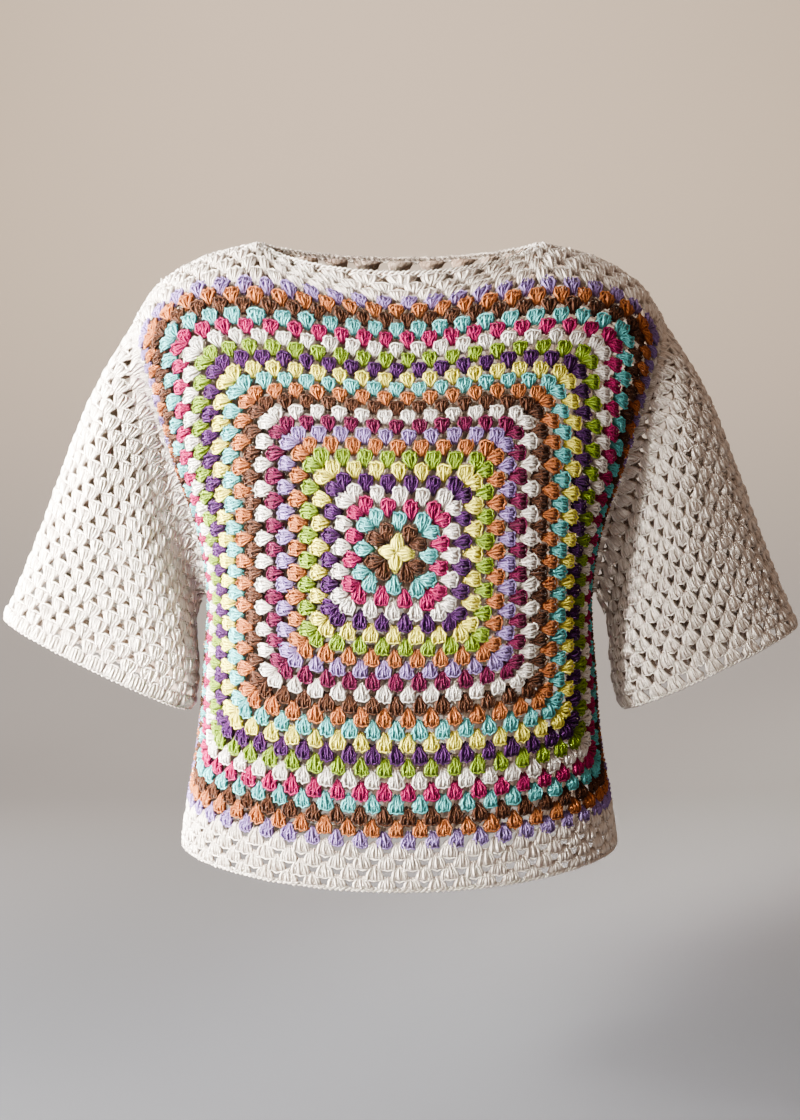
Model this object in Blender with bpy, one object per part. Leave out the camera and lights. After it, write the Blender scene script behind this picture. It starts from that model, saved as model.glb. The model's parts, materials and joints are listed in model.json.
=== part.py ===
"""Hand-crocheted cotton top, held in the shape it has when worn.

The front is one large granny square set in plain rows, the back is plain, and two wide
sleeves end below the elbow. Each crocheted piece is one closed wall of even thickness.
X runs across to the viewer's right, Y towards the back and Z up. The origin lies midway
between the two points where the neck meets the shoulders, at their height.
"""

from collections import defaultdict, namedtuple

import bmesh
import bpy
import numpy as np

MM = 0.001

# Sizes of the cloth, in millimetres
WALL = 3.0
SEAM_GAP = 0.3
EDGING_GAP = 0.6
EDGING_HEIGHT = 4.4
MITRE_LIMIT = 2.2

# Rows are counted from the middle of the square, up and down
HEM_ROW = -27.8
UNDERARM_ROW = -5.0
YOKE_ROW = 23.0
TOP_ROW = 27.2

# Neck opening, in millimetres from the origin
NECK_HALF_WIDTH = 118.0
NECK_HEIGHT = -3.0
FRONT_NECK_DEPTH = -58.0
FRONT_NECK_DROP = 27.0
BACK_NECK_DEPTH = 48.0
BACK_NECK_DROP = 11.0
NECK_ACROSS = 0.52

# Mesh divisions
ACROSS_NECK = 7
ACROSS_SHOULDER = 7
ROWS_BELOW_UNDERARM = 8
ROWS_AT_CHEST = 9
ROWS_OVER_SHOULDER = 5
SLEEVE_RINGS = 13

FRONT, BACK = -1, 1

# One line for each level of the body, from hem to yoke: the heights at the middle, at the
# seam and how far the middle sags, then the half width, the depths at the middle and at
# the seam, and how square the front and back curves are.
Section = namedtuple(
    "Section",
    "row middle sag seam seam_power half_width front back seam_front seam_back"
    " front_power back_power",
)
SECTIONS = (
    Section(-28.2, -537, 0, -519, 2.0, 187.0, -119, 106, 4, 4, 2.35, 2.40),
    Section(-24.0, -499, 0, -481, 1.8, 181.5, -116, 105, 5, 5, 2.40, 2.45),
    Section(-18.0, -440, 0, -424, 1.7, 171.0, -112, 103, 6, 6, 2.60, 2.55),
    Section(-12.0, -379, 0, -364, 1.6, 165.5, -109, 103, 6, 6, 2.90, 2.80),
    Section(UNDERARM_ROW, -311, 1, -300, 1.8, 162.0, -107, 102, 5, 5, 3.10, 2.90),
    Section(2.0, -236, 3, -243, 3.0, 170.0, -107, 100, -8, 10, 3.10, 2.90),
    Section(9.0, -167, 7, -185, 4.0, 188.0, -105, 97, -28, 28, 3.00, 2.70),
    Section(16.0, -113, 12, -126, 7.0, 205.0, -97, 87, -48, 44, 2.70, 2.50),
    Section(YOKE_ROW, -57, 15, -88, 9.0, 217.0, -75, 66, -40, 36, 2.40, 2.30),
)
SAG_REACH = 0.65

# The shoulder seam, from the neck to the top of the sleeve
Seam = namedtuple("Seam", "across x z")
SHOULDER = (
    Seam(NECK_ACROSS, NECK_HALF_WIDTH, NECK_HEIGHT),
    Seam(0.73, 171.6, -18),
    Seam(0.885, 206, -41),
    Seam(1.0, 223, -66),
)
# How the cloth arrives at the top edge, in millimetres a row: how far it runs out to the
# side, over the shoulder and up, at the neck, along the seam and at the seam's outer tip
Run = namedtuple("Run", "out over up")
NECK_RUN = Run(0.0, 3.0, 8.0)
SEAM_RUN = Run(0.0, 16.0, 0.0)
TIP_RUN = Run(2.0, 13.0, 2.0)
# Places across where the neck's run starts to turn into the seam's, and the seam's into
# the tip's
RUN_TURNS, TIP_STARTS = 0.15, 0.8
# How squarely the neckline drops, in depth and in height
NECK_DEPTH_POWER, NECK_DROP_POWER = 1.2, 1.4

# Sleeves: the outer and inner ends of each cuff and half its depth
Sleeve = namedtuple("Sleeve", "name side outer_x outer_z inner_x inner_z half_depth")
SLEEVES = (
    Sleeve("left", -1, -338, -321, -181, -399, 47),
    Sleeve("right", 1, 340, -327, 193, -398, 47),
)
CUFF_POWER = 2.3
# How strongly the sleeve keeps its direction at the armhole and at the cuff
SLEEVE_START, SLEEVE_END = 0.85, 1.0
# How a sleeve leaves the armhole: at the shoulder, and what its front and back and its
# underside add to that
Leave = namedtuple("Leave", "out fore up")
LEAVE_SHOULDER = Leave(0.55, 0.0, -0.83)
LEAVE_FRONT = Leave(0.20, 0.62, 0.30)
LEAVE_UNDER = Leave(0.45, 0.0, 0.30)

# Soft troughs in the sleeves: where round the sleeve, where along it, spread and depth
Trough = namedtuple("Trough", "side around along spread reach depth")
TROUGHS = (
    Trough(-1, 0.26, 0.50, 0.045, 0.34, 6.0),
    Trough(1, 0.20, 0.42, 0.040, 0.30, 5.0),
    Trough(-1, 0.72, 0.55, 0.050, 0.36, 5.0),
    Trough(1, 0.78, 0.45, 0.050, 0.34, 5.0),
)
TROUGH_FREE_ENDS = 0.15

# Cross-section of an edging: how far out from the cloth's edge, and how far each side
EDGING_PROFILE = (
    (EDGING_GAP, -1.2),
    (0.5 * EDGING_HEIGHT, -2.0),
    (EDGING_HEIGHT, -1.0),
    (EDGING_HEIGHT, 1.0),
    (0.5 * EDGING_HEIGHT, 2.0),
    (EDGING_GAP, 1.2),
)

CURVE_SAMPLES = 400
# A point that the edgings are faced away from, low in the middle of the body
BODY_MIDDLE = (0.0, 0.0, -270.0)

# Yarns
Yarn = namedtuple("Yarn", "name colour roughness")
CREAM = Yarn("cream_cotton", (0.80, 0.74, 0.68), 0.85)
COLOURED = Yarn("coloured_cotton", (0.55, 0.30, 0.28), 0.85)


def smooth_step(value):
    value = np.clip(value, 0.0, 1.0)
    return value * value * (3.0 - 2.0 * value)


def curve_through(stations, values, slopes, at):
    """Values between stations, on cubics that have the given slopes at them."""
    stations = np.asarray(stations, float)
    index = np.clip(np.searchsorted(stations, at) - 1, 0, len(stations) - 2)
    span = stations[index + 1] - stations[index]
    part = (at - stations[index]) / span
    shape = (-1,) + (1,) * (values.ndim - 1)
    part, span = part.reshape(shape), span.reshape(shape)
    start = (1 + 2 * part) * (1 - part) ** 2
    leave = part * (1 - part) ** 2
    end = part**2 * (3 - 2 * part)
    arrive = part**2 * (part - 1)
    return (
        start * values[index]
        + leave * span * slopes[index]
        + end * values[index + 1]
        + arrive * span * slopes[index + 1]
    )


def seam_line(across, column):
    """One column of the shoulder seam's table, at these places across."""
    stations = [seam.across for seam in SHOULDER]
    values = np.array([getattr(seam, column) for seam in SHOULDER], float)
    return curve_through(stations, values, np.gradient(values, stations), across)


def section_points(section, side, across):
    """One level of the body, evenly spaced round from the middle to the seam."""
    front = side == FRONT
    middle = section.front if front else section.back
    seam = section.seam_front if front else section.seam_back
    power = section.front_power if front else section.back_power
    turn = np.linspace(0.0, np.pi / 2, CURVE_SAMPLES)
    out = np.sin(turn) ** (2 / power)
    fall = section.seam - section.middle - section.sag
    line = np.stack(
        [
            section.half_width * out,
            seam + (middle - seam) * np.cos(turn) ** (2 / power),
            section.middle
            + section.sag * smooth_step(out / SAG_REACH)
            + fall * out**section.seam_power,
        ],
        axis=1,
    )
    steps = np.linalg.norm(np.diff(line, axis=0), axis=1)
    length = np.concatenate([[0.0], np.cumsum(steps)])
    reach = np.abs(across) * length[-1]
    points = np.stack([np.interp(reach, length, line[:, k]) for k in range(3)], axis=1)
    points[:, 0] *= np.sign(across)
    return points


def top_points(side, across):
    """The top edge: the neckline in the middle and the shoulder seams beside it."""
    front = side == FRONT
    depth = FRONT_NECK_DEPTH if front else BACK_NECK_DEPTH
    drop = FRONT_NECK_DROP if front else BACK_NECK_DROP
    away = np.abs(across)
    in_neck = away < NECK_ACROSS
    turn = np.clip(away / NECK_ACROSS, 0.0, 1.0) * np.pi / 2
    on_seam = np.clip(away, NECK_ACROSS, 1.0)
    x = np.where(in_neck, NECK_HALF_WIDTH * np.sin(turn), seam_line(on_seam, "x"))
    y = np.where(in_neck, depth * np.cos(turn) ** NECK_DEPTH_POWER, 0.0)
    neckline = NECK_HEIGHT - drop * np.cos(turn) ** NECK_DROP_POWER
    z = np.where(in_neck, neckline, seam_line(on_seam, "z"))
    return np.stack([x * np.sign(across), y, z], axis=1)


def top_slopes(side, across):
    """How the cloth arrives at the top edge: rising at the neck, level on the shoulders."""
    away = np.abs(across)
    shoulder = smooth_step((away - RUN_TURNS) / (NECK_ACROSS - RUN_TURNS))[:, None]
    tip = smooth_step((away - TIP_STARTS) / (1 - TIP_STARTS))[:, None]
    seam = np.array(SEAM_RUN) * (1 - tip) + np.array(TIP_RUN) * tip
    run = np.array(NECK_RUN) * (1 - shoulder) + seam * shoulder
    facing = np.stack([np.sign(across), np.full_like(across, -side), np.ones_like(across)])
    return run * facing.T


def panel_points(side, across, rows):
    """The middle of a body panel's cloth, as [row, place across, xyz]."""
    across = np.asarray(across, float)
    curves = [section_points(section, side, across) for section in SECTIONS]
    curves = np.array(curves + [top_points(side, across)])
    stations = [section.row for section in SECTIONS] + [TOP_ROW]
    slopes = np.gradient(curves, stations, axis=0)
    slopes[-1] = top_slopes(side, across)
    return curve_through(stations, curves, slopes, np.asarray(rows, float))


def unit(vectors):
    return vectors / np.linalg.norm(vectors, axis=-1, keepdims=True)


def armhole_points(side, rows):
    """The armhole, from the shoulder down the front and up the back again."""
    edge = np.array([float(side)])
    front = panel_points(FRONT, edge, rows[::-1])[:, 0]
    back = panel_points(BACK, edge, rows)[:, 0]
    return np.concatenate([front, back[1:-1]])


def cuff_points(sleeve, around):
    outer = np.array([sleeve.outer_x, 0.0, sleeve.outer_z])
    inner = np.array([sleeve.inner_x, 0.0, sleeve.inner_z])
    turn = 2 * np.pi * around[:, None]
    wide = np.sign(np.cos(turn)) * np.abs(np.cos(turn)) ** (2 / CUFF_POWER)
    deep = np.sign(np.sin(turn)) * np.abs(np.sin(turn)) ** (2 / CUFF_POWER)
    depth = np.array([0.0, -sleeve.half_depth, 0.0])
    return (outer + inner) / 2 + wide * (outer - inner) / 2 + deep * depth


def cuff_direction(sleeve):
    """Down the sleeve, square to the cuff."""
    width = np.array([sleeve.outer_x - sleeve.inner_x, sleeve.outer_z - sleeve.inner_z])
    across, rise = np.abs(unit(width))
    return np.array([sleeve.side * rise, 0.0, -across])


def sleeve_points(sleeve, rows, along):
    """The middle of a sleeve's cloth, as [place along, place round, xyz]."""
    start = armhole_points(sleeve.side, rows)
    count = len(start)
    around = np.arange(count) / count
    end = cuff_points(sleeve, around)
    length = np.linalg.norm(end - start, axis=1)[:, None]
    forward = np.sin(2 * np.pi * around)[:, None]
    under = smooth_step(1 - 4 * np.abs(around - 0.5))[:, None]
    facing = np.abs(forward) * np.array(LEAVE_FRONT) + under * np.array(LEAVE_UNDER)
    towards = np.concatenate([np.full_like(forward, sleeve.side), -np.sign(forward)], axis=1)
    leave = facing + np.array(LEAVE_SHOULDER)
    leave[:, :2] *= towards
    leave = unit(leave)
    slopes = np.array(
        [leave * length * SLEEVE_START, cuff_direction(sleeve) * length * SLEEVE_END]
    )
    grid = curve_through([0.0, 1.0], np.array([start, end]), slopes, along)
    inward = -surface_normals(grid, True)
    for trough in TROUGHS:
        if trough.side == sleeve.side:
            beside = np.exp(-(((around - trough.around) / trough.spread) ** 2))
            down = np.exp(-(((along - trough.along) / trough.reach) ** 2))
            start_free = smooth_step(along / TROUGH_FREE_ENDS)
            end_free = smooth_step((1 - along) / TROUGH_FREE_ENDS)
            depth = trough.depth * (down * start_free * end_free)[:, None] * beside[None]
            grid = grid + inward * depth[..., None]
    return grid


def surface_normals(grid, closed):
    """Unit normals of a grid of points, whose second direction may be a closed ring."""
    along = np.gradient(grid, axis=0)
    if closed:
        around = np.roll(grid, -1, axis=1) - np.roll(grid, 1, axis=1)
    else:
        around = np.gradient(grid, axis=1)
    normals = unit(np.cross(around, along))
    centre = grid.mean(axis=(0, 1)) if closed else np.array([0.0, 0.0, grid[..., 2].mean()])
    facing = np.sum(normals * (grid - centre), axis=-1)
    return normals if facing.sum() > 0 else -normals


class Cloth:
    """One crocheted piece: a grid of points in the middle of its wall, and their normals."""

    def __init__(self, name, grid, closed):
        self.name = name
        self.grid = grid
        self.closed = closed
        self.normals = surface_normals(grid, closed)

    def border(self):
        """Grid places on the piece's edges, each with its step towards the inside."""
        last_row, last_column = self.grid.shape[0] - 1, self.grid.shape[1] - 1
        for row in range(last_row + 1):
            for column in range(last_column + 1):
                step_row = (row == 0) - (row == last_row)
                step_column = 0 if self.closed else (column == 0) - (column == last_column)
                if step_row or step_column:
                    yield (row, column), step_row, step_column


def place_key(point):
    return tuple(np.round(point, 3))


def share_side_seams(front, back):
    """Below the underarm the front and back end on one line."""
    below = ROWS <= UNDERARM_ROW
    for column in (0, -1):
        seam = (front.grid[below, column] + back.grid[below, column]) / 2
        front.grid[below, column] = seam
        back.grid[below, column] = seam


def join_seams(cloths):
    """Mitres pieces where they meet, then draws each back by half the gap at its edges."""
    meeting = defaultdict(list)
    for cloth in cloths:
        for place, _, _ in cloth.border():
            meeting[place_key(cloth.grid[place])].append(cloth.normals[place].copy())
    for cloth in cloths:
        moved = cloth.grid.copy()
        for place, step_row, step_column in cloth.border():
            normals = np.array(meeting[place_key(cloth.grid[place])])
            mean = unit(normals.sum(axis=0))
            stretch = min(1 / np.mean(normals @ mean), MITRE_LIMIT)
            cloth.normals[place] = mean * stretch
            for step in ((step_row, 0), (0, step_column)):
                if any(step):
                    inner = cloth.grid[place[0] + step[0], place[1] + step[1]]
                    inward = unit(inner - cloth.grid[place])
                    moved[place] += inward * stretch * SEAM_GAP / 2
        cloth.grid = moved


def shared_edge(front, back, row, columns):
    """The ring of points along one edge of both body panels, front first, with normals."""
    ring = [cloth.grid[row, columns] for cloth in (front, back)]
    normals = [cloth.normals[row, columns] for cloth in (front, back)]
    ring = np.concatenate([ring[0], ring[1][::-1][1:-1]])
    return ring, unit(np.concatenate([normals[0], normals[1][::-1][1:-1]]))


def new_material(yarn):
    material = bpy.data.materials.get(yarn.name) or bpy.data.materials.new(yarn.name)
    material.use_nodes = True
    shader = material.node_tree.nodes["Principled BSDF"]
    shader.inputs["Base Color"].default_value = (*yarn.colour, 1.0)
    shader.inputs["Roughness"].default_value = yarn.roughness
    shader.inputs["Metallic"].default_value = 0.0
    return material


def finish_object(name, shape, yarn, collection):
    """Turns a bmesh of millimetres into a smooth-shaded object in metres."""
    bmesh.ops.recalc_face_normals(shape, faces=shape.faces)
    if shape.calc_volume(signed=True) < 0:
        bmesh.ops.reverse_faces(shape, faces=shape.faces)
    bmesh.ops.scale(shape, vec=(MM, MM, MM), verts=shape.verts)
    mesh = bpy.data.meshes.new(name)
    shape.to_mesh(mesh)
    shape.free()
    mesh.shade_smooth()
    mesh.materials.append(new_material(yarn))
    piece = bpy.data.objects.new(name, mesh)
    collection.objects.link(piece)


def close_rim(shape, skins, first, second):
    """Two faces across the rim. Pieces that meet cut it alike, from its higher end."""
    outer, inner = skins
    if outer[first[0]][first[1]].co.z < outer[second[0]][second[1]].co.z:
        first, second = second, first
    high, low = outer[first[0]][first[1]], inner[second[0]][second[1]]
    shape.faces.new((high, outer[second[0]][second[1]], low))
    shape.faces.new((high, low, inner[first[0]][first[1]]))


def make_wall(cloth, yarn, collection):
    """A closed wall: outer and inner skins joined by a rim round every edge."""
    shape = bmesh.new()
    rows, columns = cloth.grid.shape[:2]
    skins = []
    for out in (WALL / 2, -WALL / 2):
        points = cloth.grid + cloth.normals * out
        skins.append([[shape.verts.new(point) for point in line] for line in points])
    outer, inner = skins
    last = columns if cloth.closed else columns - 1
    for row in range(rows - 1):
        for column in range(last):
            after = (column + 1) % columns
            for skin in skins:
                corners = (
                    skin[row][column],
                    skin[row][after],
                    skin[row + 1][after],
                    skin[row + 1][column],
                )
                shape.faces.new(corners)
    for row in (0, rows - 1):
        for column in range(last):
            after = (column + 1) % columns
            close_rim(shape, skins, (row, column), (row, after))
    if not cloth.closed:
        for column in (0, columns - 1):
            for row in range(rows - 1):
                close_rim(shape, skins, (row, column), (row + 1, column))
    finish_object(cloth.name, shape, yarn, collection)


def make_edging(name, ring, normals, away_from, collection):
    """A narrow worked edge, lofted round a ring of points just off the cloth's edge."""
    tangents = unit(np.roll(ring, -1, axis=0) - np.roll(ring, 1, axis=0))
    outward = unit(np.cross(tangents, normals))
    if np.sum(outward * (ring - away_from)) < 0:
        outward = -outward
    shape = bmesh.new()
    loops = []
    for out, beside in EDGING_PROFILE:
        points = ring + outward * out + normals * beside
        loops.append([shape.verts.new(point) for point in points])
    for this, other in zip(loops, loops[1:] + loops[:1]):
        for index in range(len(ring)):
            after = (index + 1) % len(ring)
            shape.faces.new((this[index], this[after], other[after], other[index]))
    finish_object(name, shape, CREAM, collection)


def clear_scene():
    for thing in list(bpy.data.objects):
        bpy.data.objects.remove(thing)


def spaced(*stretches):
    """Stations joined from stretches of (start, end, divisions), each end given once."""
    parts = [np.linspace(start, end, count + 1)[:-1] for start, end, count in stretches]
    return np.concatenate(parts + [[stretches[-1][1]]])


ACROSS = spaced(
    (-1.0, -NECK_ACROSS, ACROSS_SHOULDER),
    (-NECK_ACROSS, NECK_ACROSS, 2 * ACROSS_NECK),
    (NECK_ACROSS, 1.0, ACROSS_SHOULDER),
)
ROWS = spaced(
    (HEM_ROW, UNDERARM_ROW, ROWS_BELOW_UNDERARM),
    (UNDERARM_ROW, YOKE_ROW, ROWS_AT_CHEST),
    (YOKE_ROW, TOP_ROW, ROWS_OVER_SHOULDER),
)


def main():
    clear_scene()
    collection = bpy.data.collections.new("cotton_top")
    bpy.context.scene.collection.children.link(collection)

    front = Cloth("front", panel_points(FRONT, ACROSS, ROWS), False)
    back = Cloth("back", panel_points(BACK, ACROSS, ROWS), False)
    armhole_rows = ROWS[ROWS >= UNDERARM_ROW]
    along = np.linspace(0.0, 1.0, SLEEVE_RINGS)
    sleeves = []
    for sleeve in SLEEVES:
        grid = sleeve_points(sleeve, armhole_rows, along)
        sleeves.append(Cloth(f"sleeve_{sleeve.name}", grid, True))
    share_side_seams(front, back)
    cloths = [front, back, *sleeves]
    join_seams(cloths)

    for cloth in cloths:
        make_wall(cloth, COLOURED if cloth is front else CREAM, collection)
    body = np.array(BODY_MIDDLE)
    in_neck = np.abs(ACROSS) <= NECK_ACROSS
    neck, neck_normals = shared_edge(front, back, -1, in_neck)
    make_edging("neck_edging", neck, neck_normals, body, collection)
    hem, hem_normals = shared_edge(front, back, 0, slice(None))
    make_edging("hem_edging", hem, hem_normals, body, collection)
    for sleeve, cloth in zip(SLEEVES, sleeves):
        name = f"cuff_edging_{sleeve.name}"
        middle = cloth.grid.mean(axis=(0, 1))
        make_edging(name, cloth.grid[-1], unit(cloth.normals[-1]), middle, collection)


main()
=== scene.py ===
"""Crocheted cotton top, held in the shape it has when worn, with its yarn work modelled.

The front is one large granny square set in plain rows. The back and the sleeves are plain.
Geometry Nodes lay the crocheted clusters out on each piece's flat plan, and the plan is
then draped on the form of the cloth. Lengths are in millimetres until a mesh is finished.
"""

import json
import math
from collections import namedtuple

import bpy
import numpy as np
from mathutils import Vector
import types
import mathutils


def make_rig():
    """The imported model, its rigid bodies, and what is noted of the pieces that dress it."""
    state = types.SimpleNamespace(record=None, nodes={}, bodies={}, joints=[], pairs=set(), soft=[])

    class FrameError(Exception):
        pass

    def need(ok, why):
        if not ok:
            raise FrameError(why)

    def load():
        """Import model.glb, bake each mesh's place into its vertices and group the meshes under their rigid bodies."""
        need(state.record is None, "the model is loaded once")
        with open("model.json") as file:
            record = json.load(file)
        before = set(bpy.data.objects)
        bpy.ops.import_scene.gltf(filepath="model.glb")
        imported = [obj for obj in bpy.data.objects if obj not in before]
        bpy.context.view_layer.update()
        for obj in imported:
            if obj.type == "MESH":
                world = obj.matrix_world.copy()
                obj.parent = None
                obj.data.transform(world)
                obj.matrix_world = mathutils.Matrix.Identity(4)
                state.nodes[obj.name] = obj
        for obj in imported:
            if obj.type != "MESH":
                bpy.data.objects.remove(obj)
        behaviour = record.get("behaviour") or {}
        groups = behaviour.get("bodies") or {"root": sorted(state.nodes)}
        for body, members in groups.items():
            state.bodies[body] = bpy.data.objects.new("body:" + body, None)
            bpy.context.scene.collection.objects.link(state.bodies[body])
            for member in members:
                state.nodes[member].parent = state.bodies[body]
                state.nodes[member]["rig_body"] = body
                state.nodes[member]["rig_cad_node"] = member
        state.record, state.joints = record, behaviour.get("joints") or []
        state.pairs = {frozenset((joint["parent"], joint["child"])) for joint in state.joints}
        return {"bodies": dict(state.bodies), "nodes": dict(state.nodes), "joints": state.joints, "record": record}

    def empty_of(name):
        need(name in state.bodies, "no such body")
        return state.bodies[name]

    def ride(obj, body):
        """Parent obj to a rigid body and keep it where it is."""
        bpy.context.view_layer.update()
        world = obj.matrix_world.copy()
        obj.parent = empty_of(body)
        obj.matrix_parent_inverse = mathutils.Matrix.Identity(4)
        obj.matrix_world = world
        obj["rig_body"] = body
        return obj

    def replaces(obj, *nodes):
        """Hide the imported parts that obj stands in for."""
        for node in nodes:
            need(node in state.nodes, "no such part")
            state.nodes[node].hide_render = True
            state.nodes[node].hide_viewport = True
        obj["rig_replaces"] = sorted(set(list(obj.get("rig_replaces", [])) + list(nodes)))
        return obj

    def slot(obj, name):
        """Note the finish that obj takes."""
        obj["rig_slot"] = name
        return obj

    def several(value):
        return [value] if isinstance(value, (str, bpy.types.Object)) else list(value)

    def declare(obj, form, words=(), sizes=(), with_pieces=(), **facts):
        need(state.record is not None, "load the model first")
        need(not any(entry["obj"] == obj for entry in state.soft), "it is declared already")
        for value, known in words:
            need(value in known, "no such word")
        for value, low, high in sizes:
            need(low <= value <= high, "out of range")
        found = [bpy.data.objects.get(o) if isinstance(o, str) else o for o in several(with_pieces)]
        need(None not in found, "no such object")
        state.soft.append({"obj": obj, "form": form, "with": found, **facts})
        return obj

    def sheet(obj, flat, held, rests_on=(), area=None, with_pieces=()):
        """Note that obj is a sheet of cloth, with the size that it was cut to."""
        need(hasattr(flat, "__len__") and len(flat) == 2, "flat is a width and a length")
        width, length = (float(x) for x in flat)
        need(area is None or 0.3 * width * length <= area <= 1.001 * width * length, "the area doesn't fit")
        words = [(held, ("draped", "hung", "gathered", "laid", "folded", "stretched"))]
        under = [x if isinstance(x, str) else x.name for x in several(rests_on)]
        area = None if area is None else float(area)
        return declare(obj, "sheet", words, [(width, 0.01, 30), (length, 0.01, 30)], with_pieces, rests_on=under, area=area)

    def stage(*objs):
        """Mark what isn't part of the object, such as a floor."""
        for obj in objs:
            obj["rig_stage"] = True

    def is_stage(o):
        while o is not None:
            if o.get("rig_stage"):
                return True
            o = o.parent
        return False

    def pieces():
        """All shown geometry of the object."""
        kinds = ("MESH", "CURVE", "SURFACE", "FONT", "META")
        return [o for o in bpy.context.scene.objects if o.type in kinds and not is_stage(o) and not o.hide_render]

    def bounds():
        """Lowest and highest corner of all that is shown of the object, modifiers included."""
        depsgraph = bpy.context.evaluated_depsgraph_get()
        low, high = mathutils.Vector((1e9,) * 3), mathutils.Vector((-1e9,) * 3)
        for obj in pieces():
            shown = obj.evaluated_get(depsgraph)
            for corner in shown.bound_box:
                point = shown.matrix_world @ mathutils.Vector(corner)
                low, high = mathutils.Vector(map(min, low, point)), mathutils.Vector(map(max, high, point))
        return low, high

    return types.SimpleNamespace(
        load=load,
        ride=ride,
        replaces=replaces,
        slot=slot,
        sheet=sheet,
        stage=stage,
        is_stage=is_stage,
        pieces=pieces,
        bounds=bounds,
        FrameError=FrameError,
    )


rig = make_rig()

bl_info = {
    "name": "Crocheted cotton top",
    "version": (1, 0, 0),
    "blender": (4, 5, 0),
    "location": "3D View > Sidebar > Crochet",
    "description": "Builds a crocheted top from clusters of yarn laid out on flat plans",
    "category": "Add Mesh",
}

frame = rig.load()
for startup in {"Cube", "Light", "Camera"} & set(bpy.data.objects.keys()):
    bpy.data.objects.remove(bpy.data.objects[startup])
CAD_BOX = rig.bounds()

MM = 0.001

# Form of the cloth, as the part's own construction has it. Rows are counted from the
# middle of the square, up and down, and places across are shares of a panel's half width.
HEM_ROW = -27.8
UNDERARM_ROW = -5.0
YOKE_ROW = 23.0
TOP_ROW = 27.2
NECK_HALF_WIDTH = 118.0
NECK_HEIGHT = -3.0
NECK_ACROSS = 0.52
FRONT, BACK = -1, 1
# How far the middle of the neckline stands out from the shoulder seams and drops below them
NECK_BOW = {FRONT: (-58.0, 27.0), BACK: (48.0, 11.0)}
NECK_DEPTH_POWER, NECK_DROP_POWER = 1.2, 1.4

# Levels of the body, with each wall's depth in its middle and at its seam, and its squareness
Section = namedtuple("Section", "row middle sag seam seam_power half_width front back")
SECTIONS = (
    Section(-28.2, -537, 0, -519, 2.0, 187.0, (-119, 4, 2.35), (106, 4, 2.40)),
    Section(-24.0, -499, 0, -481, 1.8, 181.5, (-116, 5, 2.40), (105, 5, 2.45)),
    Section(-18.0, -440, 0, -424, 1.7, 171.0, (-112, 6, 2.60), (103, 6, 2.55)),
    Section(-12.0, -379, 0, -364, 1.6, 165.5, (-109, 6, 2.90), (103, 6, 2.80)),
    Section(UNDERARM_ROW, -311, 1, -300, 1.8, 162.0, (-107, 5, 3.10), (102, 5, 2.90)),
    Section(2.0, -236, 3, -243, 3.0, 170.0, (-107, -8, 3.10), (100, 10, 2.90)),
    Section(9.0, -167, 7, -185, 4.0, 188.0, (-105, -28, 3.00), (97, 28, 2.70)),
    Section(16.0, -113, 12, -126, 7.0, 205.0, (-97, -48, 2.70), (87, 44, 2.50)),
    Section(YOKE_ROW, -57, 15, -88, 9.0, 217.0, (-75, -40, 2.40), (66, 36, 2.30)),
)
SAG_REACH = 0.65
# The shoulder seam: the place across, the x and the z of its points
SHOULDER = (
    (NECK_ACROSS, NECK_HALF_WIDTH, NECK_HEIGHT),
    (0.73, 171.6, -18.0),
    (0.885, 206.0, -41.0),
    (1.0, 223.0, -66.0),
)
# How the cloth runs at its top edge, out, over and up: at the neck, the seam and its tip
NECK_RUN, SEAM_RUN, TIP_RUN = np.array([(0.0, 3.0, 8.0), (0.0, 16.0, 0.0), (2.0, 13.0, 2.0)])
RUN_TURNS, TIP_STARTS = 0.15, 0.8

# Sleeves, by the outer and inner ends of the cuff
Sleeve = namedtuple("Sleeve", "name side outer inner half_depth")
SLEEVES = (
    Sleeve("left", -1, np.array([-338.0, 0.0, -321.0]), np.array([-181.0, 0.0, -399.0]), 47),
    Sleeve("right", 1, np.array([340.0, 0.0, -327.0]), np.array([193.0, 0.0, -398.0]), 47),
)
CUFF_POWER = 2.3
SLEEVE_START, SLEEVE_END = 0.85, 1.0
# How a sleeve leaves the armhole, out, fore and up, and what its front and underside add
LEAVE_SHOULDER, LEAVE_FRONT, LEAVE_UNDER = np.array(
    [(0.55, 0.0, -0.83), (0.20, 0.62, 0.30), (0.45, 0.0, 0.30)]
)
ARMHOLE_LOW, ARMHOLE_HIGH = 9, 5
Trough = namedtuple("Trough", "side around along spread reach depth")
TROUGHS = (
    Trough(-1, 0.26, 0.50, 0.045, 0.34, 6.0),
    Trough(1, 0.20, 0.42, 0.040, 0.30, 5.0),
    Trough(-1, 0.72, 0.55, 0.050, 0.36, 5.0),
    Trough(1, 0.78, 0.45, 0.050, 0.34, 5.0),
)
TROUGH_FREE_ENDS = 0.15
CURVE_SAMPLES = 400

# Flat plan of the crochet, where ROW is a row's height and ROUND half a cluster's width
ROW = 10.0
ROUND = 9.5
HALF_WIDTH = 238.0
ROUNDS = 24
ROUND_OUT, ROUND_IN, CORNER_IN = 0.25, 1.0, 3.5
SIDE_REACH = 3.75
SQUARE_SHIFT = -2.5
# The square is worked as three pieces, each with its last round
SQUARE_PIECES = (("middle", 14), ("rounds", 20), ("border", ROUNDS))
ROW_CLUSTERS = 25
# The narrow clusters that end every second row: how far in they lie and how wide they are
END_IN, END_WIDE = 2.0, 0.4
LEAST_ROW, LEAST_END = 0.35, 0.5
SHOULDER_ROWS, SHOULDER_END = 1.0, 0.3
GRID_STEP = 2.5
LEAST_ROOM = 0.3
NORMAL_SMOOTHING = 6
# Columns of a closed ring that its plan has again past each end
SPARE = 8
# How far past an edge, in and out, the strip for its edging reaches
EDGE_REACH = (-2.0, 8.0)

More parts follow.
